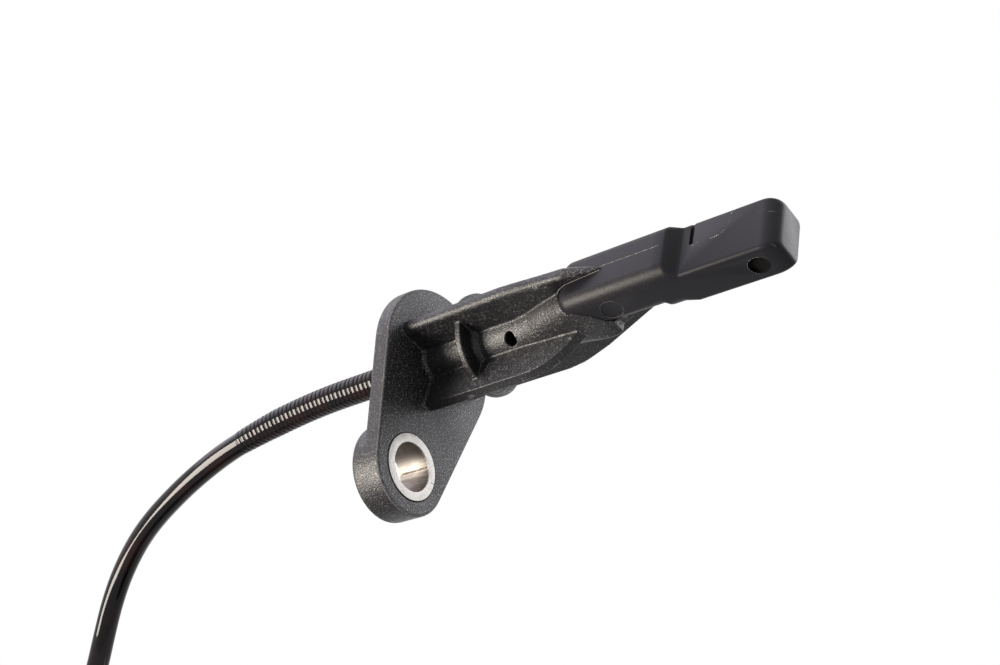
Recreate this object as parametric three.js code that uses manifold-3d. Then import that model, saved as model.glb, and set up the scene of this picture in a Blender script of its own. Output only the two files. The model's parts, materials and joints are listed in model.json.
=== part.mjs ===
// A wheel speed sensor: a smooth sensing bar and a ribbed plastic body on an eared flange,
// with a split metal bushing for one bolt, and a thin cable that ends in a two-way plug.
// Millimetres. X runs along the body to the sensing tip, and Z points up, away from the ear.
// The origin is on the body's axis, in the plane of the flange's front face.
import * as THREE from 'three';
import { mergeVertices } from 'three/addons/utils/BufferGeometryUtils.js';
import Module from 'manifold-3d';

const wasm = await Module();
wasm.setup();

// Flange: a round head about the body's axis, joined by straight sides to a smaller eye.
const flangeThickness = 3.1;
const flangeEdgeBevel = 0.35;
const headRadius = 13.1;
const eyeRadius = 8.25;
const eyeDrop = 22.1;
const eyeBossDepth = 5.1;

// Bushing: a rolled strip with a slit, moulded into the eye.
const bushingOuterRadius = 5.65;
const bushingWall = 1.45;
const bushingSlit = 0.35;
const bushingClearance = 0.12;
const bushingProud = 0.12;

// Ribbed body: a core with four fins, inside a cylinder that fills the knuckle's bore.
const bodyRadius = 10.2;
const finThickness = 1.9;
const coreRadius = 4.3;
const coreStraightEnd = 20;
const mouthBend = 25;
const mouthBendBack = -5.4;
const mouthBendFront = 4.3;
const mouthBendHalfWidth = 4.5;
const mouthBendCorner = 4.1;
const mouthEnd = 31.5;
const mouthBack = -6.65;
const mouthFront = 3.4;
const mouthHalfWidth = 5;
const mouthCorner = 3;
const rootFilletRadius = 5;
const rootFilletLength = 0.6;
const finStraightEnd = 21;
const crossFinEnd = 31.5;
const bowFinShoulder = 32.6;
const bowFinBend = 28;
const bowFinBendRadius = 10;
const bowFinShoulderRadius = 9.4;
const bowFinEnd = 38.9;
const bowTipHalfThickness = 0.15;
const keelFinShoulder = 25.5;
const keelFinShoulderRadius = 9.6;
const keelFinEnd = 46;
const tongueStart = 30;
const tongueLift = 0.6;
const tongueSides = [-0.9, 3.3];
const cradleHalfWidth = 3.4;
const cradleDepth = 1.85;
const cradleStart = 28;
const cradleNose = 2;
const cradleRound = 0.6;
const cradleEnd = 39.5;
const discPlace = 10.3;
const discThickness = 1.1;
const discRadius = 9;
const gateDiscRadius = 7.5;
const pinHolePlace = 18.2;
const pinHoleRadius = 1;
const pinHoleAngle = 56;
const pinHoleFloor = 2.5;

// Sensing bar: a smooth carrier with a thick root, a ramp and a thinner tip.
const barRise = 0.6;
const barHalfWidth = 5.2;
const barBack = -6.9;
const barFront = 0.7;
const tipBack = -4.9;
const tipFront = 1.6;
const barCornerRadius = 2.2;
const tipCornerRadius = 0.8;
const barStart = 29.6;
const barNose = 2.4;
const barNoseStep = 0.5;
const barNoseInset = 0.9;
const barNoseLift = 1.4;
const barNoseStepLift = 0.6;
const frontStep = 46.8;
const rampStart = 49.9;
const rampEnd = 51.8;
const frontStepLength = 1.1;
const midCornerRadius = 1.6;
const markSlotStart = 53.05;
const markSlotWidth = 0.7;
const markSlotDepth = 0.4;
const markSlotLow = 1.15;
const tipEnd = 68.2;
const tipEndTaper = 3;
const tipEndInset = 1.35;
const tipFrontInset = 0.25;
const tipEndTurns = [0, 30, 60, 80];
const tailRadius = 3.2;
const tailStart = 24;
const ejectorRadius = 1.75;
const ejectorDepth = 0.3;
const tipEjectorPlace = 63.7;
const rootEjectorPlace = 38.5;
const rootEjectorDepth = 0.12;
const carrierClearance = 0.3;

// Electronics: a chip and a capacitor on two lead strips, in a slot that opens to the tail.
const slotHalfWidth = 2.1;
const tailSlotHalfHeight = 1;
const slotBack = -2.3;
const slotFront = -0.3;
const slotEndWall = 1.3;
const slotStart = 32;
const leadBack = -0.8;
const leadThickness = 0.3;
const leadWidth = 0.9;
const leadSpacing = 2.2;
const leadStart = 12;
const chipLength = 5.4;
const chipThickness = 1.2;
const chipHalfWidth = 1.8;
const capacitorPlace = 49;
const capacitorLength = 3.4;
const crimpLength = 3.4;
const crimpHalfWidth = 0.8;
const crimpPinch = 0.6;
const wireRadius = 0.7;
const wireBoreRadius = 2.7;

// Cable: a ribbed bend relief, then a plain jacket.
const cableDiameter = 4.3;
const reliefDiameter = 5.05;
const reliefEndDiameter = 4.45;
const reliefTaperLength = 9;
const reliefRibPitch = 1.32;
const reliefRibHeight = 0.09;
const reliefSeat = 1.5;
const reliefClearance = 0.3;
const neckLength = 3.4;
const neckRadius = 4.3;
const neckEndRadius = 3.9;
const jointGap = 0.3;

// Coil: the length that is put away, in a round coil with a tie.
const coilTurns = 4;
const coilRadius = 23.65;
const coilPitch = 4.5;
const coilHeading = 0;
const coilStub = 15.6;
const coilEntry = new THREE.Vector3(-93.2, 17.6, -77);
const tieThickness = 1;
const tieWidth = 3.2;
const tieClearance = 0.35;
const coilSlack = 0.1;

// Plug: a two-way housing with blades, wire seals, a lock plate and a tapered boot.
const plugWidth = 15;
const plugDepth = 11;
const plugLength = 20;
const plugWall = 1.5;
const plugCornerRadius = 2;
const plugInnerRadius = 1.2;
const guideRibHalfWidth = 0.6;
const guideRibProud = 0.7;
const socketDepth = 12;
const bladeSpacing = 5;
const bladeLength = 7.5;
const bladeTipBevel = 0.25;
const bladeWidth = 1.5;
const bladeThickness = 0.8;
const bladeClearance = 0.3;
const sealRadius = 1.9;
const sealLength = 3.6;
const sealSeatLength = 4.6;
const sealLip = 0.35;
const sealClearance = 0.1;
const wireClearance = 0.2;
const bootLength = 9;
const bootEntryRadius = 3.6;
const bootWall = 1.4;
const bootSkirt = 1.5;
const bootThroat = 2.3;
const bootEntryLength = 2;
const coreSpacing = 1.8;
const wireBend = 1.2;
const lockWidth = 8;
const lockThickness = 1.2;
const lockPlace = 6;
const lockClearance = 0.25;
const lockFloorWall = 0.5;
const plugDrop = 24;
const latchWidth = 5;
const latchLength = 3;
const latchHeight = 1.6;

const slack = 1;
const lap = 0.1;
const smallRound = 0.2;
const axisX = new THREE.Vector3(1, 0, 0);
const axisY = new THREE.Vector3(0, 1, 0);
const axisZ = new THREE.Vector3(0, 0, 1);

// The closed mesh of a geometry, as a solid that can be joined and cut.
function solidOf(geometry) {
  const bare = geometry.index ? geometry.toNonIndexed() : geometry.clone();
  bare.deleteAttribute('normal');
  bare.deleteAttribute('uv');
  const merged = mergeVertices(bare, 1e-4);
  const vertProperties = Float32Array.from(merged.attributes.position.array);
  const triVerts = Uint32Array.from(merged.index.array);
  return new wasm.Manifold(new wasm.Mesh({ numProp: 3, vertProperties, triVerts }));
}

function geometryOf(solid) {
  const mesh = solid.getMesh();
  const geometry = new THREE.BufferGeometry();
  geometry.setAttribute('position', new THREE.BufferAttribute(mesh.vertProperties, 3));
  geometry.setIndex(new THREE.BufferAttribute(mesh.triVerts, 1));
  const flat = geometry.toNonIndexed();
  flat.computeVertexNormals();
  return flat;
}

const joined = (solids) => solids.reduce((sum, solid) => sum.add(solid));

// Turns a geometry built along its own Z so that it runs along X, with its X and Y on Y and Z.
function alongX(geometry, start) {
  const turn = new THREE.Matrix4().makeBasis(axisY, axisZ, axisX).setPosition(start, 0, 0);
  return geometry.applyMatrix4(turn);
}

function rod(radius, start, end, y = 0, z = 0, segments = 40) {
  const round = new THREE.CylinderGeometry(radius, radius, end - start, segments);
  round.rotateZ(-Math.PI / 2).translate((start + end) / 2, y, z);
  return solidOf(round);
}

function cone(startRadius, endRadius, start, end, segments = 40) {
  const taper = new THREE.CylinderGeometry(endRadius, startRadius, end - start, segments);
  taper.rotateZ(-Math.PI / 2).translate((start + end) / 2, 0, 0);
  return solidOf(taper);
}

function box([x0, x1], [y0, y1], [z0, z1]) {
  const block = new THREE.BoxGeometry(x1 - x0, y1 - y0, z1 - z0);
  return solidOf(block.translate((x0 + x1) / 2, (y0 + y1) / 2, (z0 + z1) / 2));
}

// A closed skin over a run of rings that all have the same number of points.
function skin(rings) {
  const count = rings[0].length;
  const points = rings.flat();
  const first = points.length;
  const centre = (ring) => ring.reduce((sum, p) => sum.clone().add(p)).divideScalar(ring.length);
  points.push(centre(rings[0]), centre(rings.at(-1)));
  const faces = [];
  for (let i = 0; i < count; i += 1) {
    const next = (i + 1) % count;
    for (let k = 0; k + 1 < rings.length; k += 1) {
      const [a, b] = [k * count + i, k * count + next];
      faces.push(a, b, b + count, a, b + count, a + count);
    }
    const last = (rings.length - 1) * count;
    faces.push(first, next, i, first + 1, last + i, last + next);
  }
  const geometry = new THREE.BufferGeometry().setFromPoints(points);
  geometry.setIndex(faces);
  return geometry;
}

// A ring of points across X: a rectangle with round corners, or a circle where they fill it.
function roundedRing(x, [y0, y1], [z0, z1], radius, perCorner = 5) {
  const corners = [[y1, z1, 0], [y0, z1, 90], [y0, z0, 180], [y1, z0, 270]];
  return corners.flatMap(([y, z, turn]) => {
    const cy = y - Math.sign(y - (y0 + y1) / 2) * radius;
    const cz = z - Math.sign(z - (z0 + z1) / 2) * radius;
    return Array.from({ length: perCorner }, (_, i) => {
      const angle = THREE.MathUtils.degToRad(turn + (90 * i) / (perCorner - 1));
      return new THREE.Vector3(x, cy + radius * Math.cos(angle), cz + radius * Math.sin(angle));
    });
  });
}

const loft = (rings) => solidOf(skin(rings));

// Two round ends and the two straight sides that touch them both.
function flangeOutline(grow = 0) {
  const lean = Math.asin((headRadius - eyeRadius) / eyeDrop);
  const shape = new THREE.Shape();
  shape.absarc(0, 0, headRadius + grow, -lean, Math.PI + lean, false);
  shape.absarc(0, -eyeDrop, eyeRadius + grow, Math.PI + lean, 2 * Math.PI - lean, false);
  shape.closePath();
  return shape;
}

function flangePlate() {
  const plate = new THREE.ExtrudeGeometry(flangeOutline(), {
    depth: flangeThickness - 2 * flangeEdgeBevel,
    bevelThickness: flangeEdgeBevel,
    bevelSize: flangeEdgeBevel,
    bevelOffset: -flangeEdgeBevel,
    bevelSegments: 1,
    curveSegments: 36,
  });
  return solidOf(alongX(plate, flangeEdgeBevel - flangeThickness));
}

function eyeBoss() {
  const boss = new THREE.LatheGeometry([
    new THREE.Vector2(0, -eyeBossDepth),
    new THREE.Vector2(eyeRadius - 2 * flangeEdgeBevel, -eyeBossDepth),
    new THREE.Vector2(eyeRadius, -eyeBossDepth + 2 * flangeEdgeBevel),
    new THREE.Vector2(eyeRadius, -flangeThickness / 2),
    new THREE.Vector2(0, -flangeThickness / 2),
  ], 48);
  return solidOf(boss.rotateZ(-Math.PI / 2).translate(0, 0, -eyeDrop));
}

// A flat fin from its outline in the plane of X and the distance from the axis.
function fin(outline, turnDegrees) {
  const blade = new THREE.ExtrudeGeometry(outline, {
    depth: finThickness,
    bevelEnabled: false,
    curveSegments: 10,
  });
  blade.translate(0, 0, -finThickness / 2);
  return solidOf(blade.rotateX(THREE.MathUtils.degToRad(turnDegrees)));
}

const finFoot = coreRadius - slack;

// The core's mouth turns from the core's circle into the bar's rounded section.
function coreMouth() {
  const sides = (rise, half) => [rise - half, rise + half];
  const round = [-coreRadius, coreRadius];
  return loft([
    roundedRing(coreStraightEnd, round, round, coreRadius - lap),
    roundedRing(
      mouthBend, [mouthBendBack, mouthBendFront], sides(lap, mouthBendHalfWidth), mouthBendCorner,
    ),
    roundedRing(mouthEnd, [mouthBack, mouthFront], sides(barRise, mouthHalfWidth), mouthCorner),
  ]);
}

// The top and bottom fins curve in to the core at the bar's root.
function crossFinOutline() {
  const shape = new THREE.Shape();
  const fall = bodyRadius - coreRadius;
  shape.moveTo(-slack, finFoot);
  shape.lineTo(crossFinEnd, finFoot);
  shape.lineTo(crossFinEnd, coreRadius);
  shape.absellipse(finStraightEnd, coreRadius, crossFinEnd - finStraightEnd, fall, 0, Math.PI / 2);
  shape.lineTo(-slack, bodyRadius);
  shape.closePath();
  return shape;
}

// The back fin ends at its shoulder, where its crest begins to narrow.
function bowFinOutline() {
  const shape = new THREE.Shape();
  shape.moveTo(-slack, finFoot);
  shape.lineTo(-slack, bodyRadius);
  shape.lineTo(finStraightEnd, bodyRadius);
  shape.quadraticCurveTo(bowFinBend, bowFinBendRadius, bowFinShoulder, bowFinShoulderRadius);
  shape.lineTo(bowFinShoulder, finFoot);
  shape.closePath();
  return shape;
}

// The front fin slopes away under the bar like a keel.
function keelFinOutline() {
  const shape = new THREE.Shape();
  shape.moveTo(-slack, finFoot - 2 * slack);
  shape.lineTo(-slack, bodyRadius);
  shape.lineTo(finStraightEnd, bodyRadius);
  shape.lineTo(keelFinShoulder, keelFinShoulderRadius);
  shape.lineTo(keelFinEnd, barFront + 2 * carrierClearance);
  shape.lineTo(keelFinEnd, finFoot - 2 * slack);
  shape.closePath();
  return shape;
}

function fins() {
  return joined([
    fin(bowFinOutline(), 180),
    fin(keelFinOutline(), 0),
    fin(crossFinOutline(), 90),
    fin(crossFinOutline(), -90),
  ]);
}

// The back fin's crest runs on over the bar and narrows to a point, on a low tongue.
function backTongue() {
  const foot = barBack + slack;
  const crest = [-finThickness / 2, finThickness / 2];
  const tip = [barRise + smallRound - bowTipHalfThickness, barRise + smallRound + bowTipHalfThickness];
  const low = loft([
    roundedRing(tongueStart, [barBack - tongueLift, foot], tongueSides, 2 * smallRound),
    roundedRing(bowFinEnd - slack, [barBack - smallRound, foot], tip, smallRound / 2),
  ]);
  const high = loft([
    roundedRing(bowFinShoulder - lap, [-bowFinShoulderRadius, foot], crest, smallRound / 2),
    roundedRing(bowFinEnd, [barBack - lap, foot], tip, smallRound / 2),
  ]);
  return low.add(high);
}

// The pad that carries the front of the bar.
function cradle() {
  const back = barFront - slack;
  const front = barFront + carrierClearance + cradleDepth;
  const side = [-cradleHalfWidth + barRise, cradleHalfWidth + barRise];
  const narrow = [side[0] + slack, side[1] - slack];
  return loft([
    roundedRing(cradleStart, [back, front + slack], side, cradleRound),
    roundedRing(cradleEnd - cradleNose, [back, front], side, cradleRound),
    roundedRing(cradleEnd, [back, front - cradleRound], narrow, cradleRound),
  ]);
}

// The disc that ties the fins together. It is smaller between the back and bottom fins.
function crossDisc() {
  const span = [discPlace, discPlace + discThickness];
  const quarter = [-discRadius - slack, 0];
  const full = rod(discRadius, ...span, 0, 0, 56);
  const cut = box([span[0] - slack, span[1] + slack], quarter, quarter);
  return full.subtract(cut).add(rod(gateDiscRadius, ...span, 0, 0, 56));
}

// The hole left by a mould pin that held the bar's tail.
function pinHole() {
  const hole = new THREE.CylinderGeometry(pinHoleRadius, pinHoleRadius, coreRadius, 20);
  hole.translate(0, coreRadius / 2 + pinHoleFloor, 0);
  hole.rotateX(THREE.MathUtils.degToRad(180 + pinHoleAngle)).translate(pinHolePlace, 0, 0);
  return solidOf(hole);
}

// The bar's stations from root to tip. Growing them gives the cavity that the bar sits in.
function barStations(grow = 0) {
  const width = (inset) => [
    barRise - barHalfWidth + inset - grow,
    barRise + barHalfWidth - inset + grow,
  ];
  const ring = (x, back, front, inset, radius) =>
    roundedRing(x, [back - grow, front + grow], width(inset), radius + grow);
  const [thick, middle, thin] = [barCornerRadius, midCornerRadius, tipCornerRadius];
  const endRing = (turn) => {
    const away = 1 - Math.cos(THREE.MathUtils.degToRad(turn));
    const along = 1 - Math.sin(THREE.MathUtils.degToRad(turn));
    const inset = tipEndInset * away;
    return ring(
      tipEnd - tipEndTaper * along, tipBack + inset, tipFront - tipFrontInset * away, inset, thin,
    );
  };
  const [noseBack, stepBack] = [barBack + barNose, barBack + barNoseInset];
  return [
    ring(barStart - grow, noseBack, barFront - barNoseLift, barNose, middle),
    ring(barStart + barNoseStep, stepBack, barFront - barNoseStepLift, barNoseInset, thick),
    ring(barStart + barNose, barBack, barFront, 0, thick),
    ring(frontStep, barBack, barFront, 0, thick),
    ring(frontStep + frontStepLength, barBack, tipFront, 0, middle),
    ring(rampStart, barBack, tipFront, 0, middle),
    ring(rampEnd, tipBack, tipFront, 0, thin),
    ...tipEndTurns.map(endRing),
  ];
}

function carrierBody(grow = 0) {
  const tail = rod(tailRadius + grow, tailStart - grow, barStart + barNose, 0, 0, 32);
  return loft(barStations(grow)).add(tail);
}

function ejectorMark(place, depth) {
  const floor = barRise - barHalfWidth;
  const mark = new THREE.CylinderGeometry(ejectorRadius, ejectorRadius, 2 * depth, 28);
  const middle = (tipBack + tipFront) / 2;
  return solidOf(mark.rotateX(Math.PI / 2).translate(place, middle, floor));
}

// The short groove across the upper half of the tip's back face.
function markSlot() {
  const along = [markSlotStart, markSlotStart + markSlotWidth];
  const deep = [tipBack - slack, tipBack + markSlotDepth];
  return box(along, deep, [markSlotLow, barRise + barHalfWidth + slack]);
}

function sensorCarrier() {
  const slotWidth = [-slotHalfWidth, slotHalfWidth];
  const tailHeight = [-tailSlotHalfHeight, tailSlotHalfHeight];
  const tailSlot = box([tailStart - slack, slotStart + slack], tailHeight, slotWidth);
  const chipSlot = box([slotStart, tipEnd - slotEndWall], [slotBack, slotFront], slotWidth);
  return carrierBody()
    .subtract(tailSlot.add(chipSlot))
    .subtract(ejectorMark(tipEjectorPlace, ejectorDepth))
    .subtract(ejectorMark(rootEjectorPlace, rootEjectorDepth))
    .subtract(markSlot());
}

const reliefStart = -reliefSeat;

function flangeBody() {
  const core = rod(coreRadius, -flangeThickness, coreStraightEnd + lap);
  const fillet = cone(rootFilletRadius, coreRadius, -slack, rootFilletLength);
  const neckEnd = -flangeThickness - neckLength;
  const neck = cone(neckEndRadius, neckRadius, neckEnd, slack - flangeThickness);
  const outside = joined([
    flangePlate(), eyeBoss(), core, coreMouth(), fillet, neck,
    fins(), backTongue(), cradle(), crossDisc(),
  ]);
  const eyeBore = rod(
    bushingOuterRadius + bushingClearance, -eyeBossDepth - slack, slack, 0, -eyeDrop, 48,
  );
  const seatRadius = reliefDiameter / 2 + reliefClearance;
  const reliefBore = rod(seatRadius, neckEnd - slack, reliefStart + jointGap);
  const wireBore = rod(wireBoreRadius, reliefStart, tailStart);
  return outside
    .subtract(joined([eyeBore, reliefBore, wireBore, pinHole()]))
    .subtract(carrierBody(carrierClearance));
}

function mountingBushing() {
  const inner = bushingOuterRadius - bushingWall;
  const halfSlit = (radius) => Math.asin(bushingSlit / 2 / radius);
  const outerGap = halfSlit(bushingOuterRadius);
  const innerGap = halfSlit(inner);
  const shape = new THREE.Shape();
  shape.absarc(0, 0, bushingOuterRadius, outerGap, 2 * Math.PI - outerGap, false);
  shape.absarc(0, 0, inner, 2 * Math.PI - innerGap, innerGap, true);
  shape.closePath();
  const sleeve = new THREE.ExtrudeGeometry(shape, {
    depth: eyeBossDepth + 2 * bushingProud,
    bevelEnabled: false,
    curveSegments: 44,
  });
  return alongX(sleeve, -eyeBossDepth - bushingProud).translate(0, 0, -eyeDrop);
}

// Both lead strips run from the crimps, through the slot, to the chip.
const chipEnd = tipEnd - slotEndWall - jointGap;
const leadSides = [-1, 1];

function lead(side) {
  const middle = (side * leadSpacing) / 2;
  const strip = new THREE.BoxGeometry(chipEnd - chipLength / 2 - leadStart, leadThickness, leadWidth);
  const start = (chipEnd - chipLength / 2 + leadStart) / 2;
  return strip.translate(start, leadBack + leadThickness / 2, middle);
}

function slotPiece(start, length) {
  const block = new THREE.BoxGeometry(length, chipThickness, 2 * chipHalfWidth);
  return block.translate(start + length / 2, leadBack - chipThickness / 2, 0);
}

const crimpStart = leadStart - crimpLength - jointGap;

function crimp(side) {
  const width = [crimpHalfWidth * crimpPinch, crimpHalfWidth, crimpHalfWidth * crimpPinch];
  const middle = (side * leadSpacing) / 2;
  const rings = width.map((half, i) =>
    roundedRing(
      crimpStart + (i * crimpLength) / 2,
      [leadBack - half, leadBack + half],
      [middle - half, middle + half],
      half * crimpPinch,
      4,
    ));
  return skin(rings);
}

function innerWire(side) {
  const wire = new THREE.CylinderGeometry(
    wireRadius, wireRadius, crimpStart - reliefStart - 2 * jointGap, 14,
  );
  wire.rotateZ(Math.PI / 2);
  return wire.translate((crimpStart + reliefStart) / 2, leadBack, (side * leadSpacing) / 2);
}

// The relief follows the cable's first, nearly straight stretch.
const reliefPoints = [
  [reliefStart, 0, 0], [-9, 0, 0], [-18, 0, 0], [-26, 0, -0.1],
  [-34, 0, -0.8], [-41, 0, -1.9], [-48, 0, -3.5],
];

const curveThrough = (points) =>
  new THREE.CatmullRomCurve3(points.map((p) => new THREE.Vector3(...p)), false, 'centripetal');

// A round rod along a flat curve, with a radius that changes along it.
function taperedRod(curve, radiusAt, steps, sides) {
  const length = curve.getLength();
  const rings = Array.from({ length: steps + 1 }, (_, k) => {
    const share = k / steps;
    const centre = curve.getPointAt(share);
    const ahead = curve.getTangentAt(share);
    const across = new THREE.Vector3().crossVectors(axisY, ahead).normalize();
    const radius = radiusAt(share * length, length);
    return Array.from({ length: sides }, (__, i) => {
      const angle = (2 * Math.PI * i) / sides;
      return centre.clone()
        .addScaledVector(across, radius * Math.cos(angle))
        .addScaledVector(axisY, radius * Math.sin(angle));
    });
  });
  return skin(rings);
}

function bendRelief() {
  const curve = curveThrough(reliefPoints);
  const ribs = Math.round(curve.getLength() / reliefRibPitch);
  const buried = flangeThickness + neckLength - reliefSeat;
  const radiusAt = (along, length) => {
    const thinning = Math.max(0, 1 - (length - along) / reliefTaperLength);
    const plain = THREE.MathUtils.lerp(reliefDiameter, reliefEndDiameter, thinning) / 2;
    const crest = Math.round((2 * along) / reliefRibPitch) % 2 === 1;
    return plain - (crest || along < buried ? 0 : reliefRibHeight);
  };
  return taperedRod(curve, radiusAt, 2 * ribs, 12);
}

// The stretch that hangs free from the relief to the coil.
const cableEnd = reliefPoints.at(-1);
const cablePoints = [
  [cableEnd[0] - jointGap, 0, cableEnd[2] - lap],
  [-52, 0.1, -4.7], [-56, 0.5, -6.1], [-60, 1, -7.3], [-64, 1.6, -8.7], [-68, 2.6, -10.2],
  [-72, 3.5, -11.6], [-76, 4.7, -13.2], [-80, 6.3, -15.1], [-83.5, 8, -17.3],
  [-86.6, 9.6, -19.8], [-89, 11.3, -22.9], [-90.9, 13, -26.6], [-92, 14.5, -30.8],
  [-92.6, 15.7, -35.4], [-93, 16.6, -41], [-93.2, 17.2, -48], [-93.2, 17.5, -55],
  [-93.2, 17.6, coilEntry.z + coilStub],
];

// A plain round cable along a curve.
function cableAlong(curve, steps) {
  const section = new THREE.Shape();
  section.absarc(0, 0, cableDiameter / 2, 0, 2 * Math.PI, false);
  return new THREE.ExtrudeGeometry(section, { steps, extrudePath: curve, curveSegments: 5 });
}

// The coil hangs on edge, with its axis level.
const coilAxis = new THREE.Vector3(
  -Math.sin(THREE.MathUtils.degToRad(coilHeading)), Math.cos(THREE.MathUtils.degToRad(coilHeading)), 0,
);
const coilAcross = new THREE.Vector3().crossVectors(coilAxis, axisZ);
const coilWidth = coilTurns * coilPitch;
const coilCentre = coilEntry.clone().addScaledVector(coilAcross, coilRadius);

function cableCoil() {
  const half = cableDiameter / 2 + coilSlack;
  const [near, far] = [coilRadius - half, coilRadius + half];
  const ends = [-half, coilWidth + half];
  const ring = new THREE.LatheGeometry([
    new THREE.Vector2(near, ends[0]),
    new THREE.Vector2(far, ends[0]),
    new THREE.Vector2(far, ends[1]),
    new THREE.Vector2(near, ends[1]),
    new THREE.Vector2(near, ends[0]),
  ], 40);
  return ring.applyMatrix4(coilFrame());
}

// The coil's own frame: its Y is the coil's axis and its X points away from the cable's entry.
function coilFrame() {
  const third = new THREE.Vector3().crossVectors(coilAcross, coilAxis);
  return new THREE.Matrix4().makeBasis(coilAcross, coilAxis, third).setPosition(coilCentre);
}

function coilTie() {
  const half = cableDiameter / 2 + coilSlack + tieClearance;
  const bounds = (grow) => [
    [coilRadius - half - grow, coilRadius + half + grow],
    [-half - grow, coilWidth + half + grow],
  ];
  const outline = ([[x1, x0], [y0, y1]], Kind) => {
    const shape = new Kind();
    shape.moveTo(-x0, y0);
    shape.lineTo(-x1, y0);
    shape.lineTo(-x1, y1);
    shape.lineTo(-x0, y1);
    shape.closePath();
    return shape;
  };
  const band = outline(bounds(tieThickness), THREE.Shape);
  band.holes.push(outline(bounds(0), THREE.Path));
  const tie = new THREE.ExtrudeGeometry(band, { depth: tieWidth, bevelEnabled: false });
  return tie.translate(0, 0, -tieWidth / 2).applyMatrix4(coilFrame());
}

// The plug hangs below the coil's entry side, on the cable that leaves the last turn.
const coilExit = coilEntry.clone().addScaledVector(coilAxis, coilWidth);
const plugTop = coilExit.z - plugDrop;
const housingTop = plugTop - bootLength - jointGap;
const cableIntoBoot = bootLength / 3;

function cableTail() {
  const start = coilExit.clone().setZ(coilExit.z - coilStub);
  const end = coilExit.clone().setZ(plugTop - cableIntoBoot);
  return cableAlong(new THREE.LineCurve3(start, end), 2);
}

// The plug is built along X, from the housing's rear at zero to its open front, then hung.
function hangPlug(geometry) {
  geometry.rotateY(Math.PI / 2).rotateZ(THREE.MathUtils.degToRad(coilHeading));
  return geometry.translate(coilExit.x, coilExit.y, housingTop);
}

const socketFloor = plugLength - socketDepth;
const span = (size, inset = 0) => [inset - size / 2, size / 2 - inset];

function plugPrism(start, end, inset = 0) {
  const radius = inset ? plugInnerRadius : plugCornerRadius;
  const ring = (x) => roundedRing(x, span(plugDepth, inset), span(plugWidth, inset), radius, 4);
  return loft([ring(start), ring(end)]);
}

// The ramp that the mating plug's catch snaps over.
function latchRamp() {
  const shape = new THREE.Shape();
  shape.moveTo(0, -slack);
  shape.lineTo(0, latchHeight);
  shape.lineTo(latchLength, 0);
  shape.lineTo(latchLength, -slack);
  shape.closePath();
  const ramp = new THREE.ExtrudeGeometry(shape, { depth: latchWidth, bevelEnabled: false });
  return solidOf(ramp.translate(socketFloor, plugDepth / 2, -latchWidth / 2));
}

function guideRib(side) {
  const middle = (side * plugWidth) / 2;
  const across = [-guideRibHalfWidth, guideRibHalfWidth];
  const out = [middle - guideRibProud, middle + guideRibProud];
  return box([slack, plugLength - 2 * slack], across, out);
}

function lockSpace(grow) {
  const floor = bladeThickness / 2 + bladeClearance + lockFloorWall;
  return [
    [lockPlace - lockThickness / 2 - grow, lockPlace + lockThickness / 2 + grow],
    [-plugDepth / 2 - (grow ? slack : 0), -floor + grow],
    [-lockWidth / 2 - grow, lockWidth / 2 + grow],
  ];
}

function plugHousing() {
  const passage = [sealSeatLength - slack, socketFloor + slack];
  const bores = leadSides.flatMap((side) => {
    const middle = (side * bladeSpacing) / 2;
    const reach = bladeWidth / 2 + bladeClearance;
    const thick = bladeThickness / 2 + bladeClearance;
    return [
      rod(sealRadius + sealClearance, -slack, sealSeatLength, 0, middle, 24),
      box(passage, [-thick, thick], [middle - reach, middle + reach]),
    ];
  });
  const shell = joined([plugPrism(0, plugLength), latchRamp(), ...leadSides.map(guideRib)]);
  const socket = plugPrism(socketFloor, plugLength + slack, plugWall);
  return geometryOf(shell.subtract(joined([socket, ...bores, box(...lockSpace(lockClearance))])));
}

function plugBlade(side) {
  const middle = (side * bladeSpacing) / 2;
  const end = socketFloor + bladeLength;
  const ring = (x, inset) => roundedRing(
    x,
    span(bladeThickness, inset),
    [middle - bladeWidth / 2 + inset, middle + bladeWidth / 2 - inset],
    lap,
    2,
  );
  return skin([ring(sealSeatLength + jointGap, 0), ring(end - slack, 0), ring(end, bladeTipBevel)]);
}

// A wire seal with two lips round it.
function wireSeal(side) {
  const bore = wireRadius + wireClearance;
  const lip = sealRadius;
  const waist = sealRadius - sealLip;
  const step = sealLength / 4;
  const profile = [
    [bore, 0], [waist, 0], [lip, step], [waist, 2 * step], [lip, 3 * step], [waist, 4 * step],
    [bore, 4 * step], [bore, 0],
  ].map(([radius, along]) => new THREE.Vector2(radius, along));
  const seal = new THREE.LatheGeometry(profile, 24).rotateZ(-Math.PI / 2);
  return seal.translate(jointGap, 0, (side * bladeSpacing) / 2);
}

// The two cores part inside the boot, from the cable's end to their seals.
function plugWire(side) {
  const start = cableIntoBoot - bootLength;
  const near = (side * coreSpacing) / 2;
  const far = (side * bladeSpacing) / 2;
  const curve = curveThrough([
    [start, 0, near], [start + slack, 0, near], [-wireBend, 0, far], [sealSeatLength, 0, far],
  ]);
  return taperedRod(curve, () => wireRadius, 10, 12);
}

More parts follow.
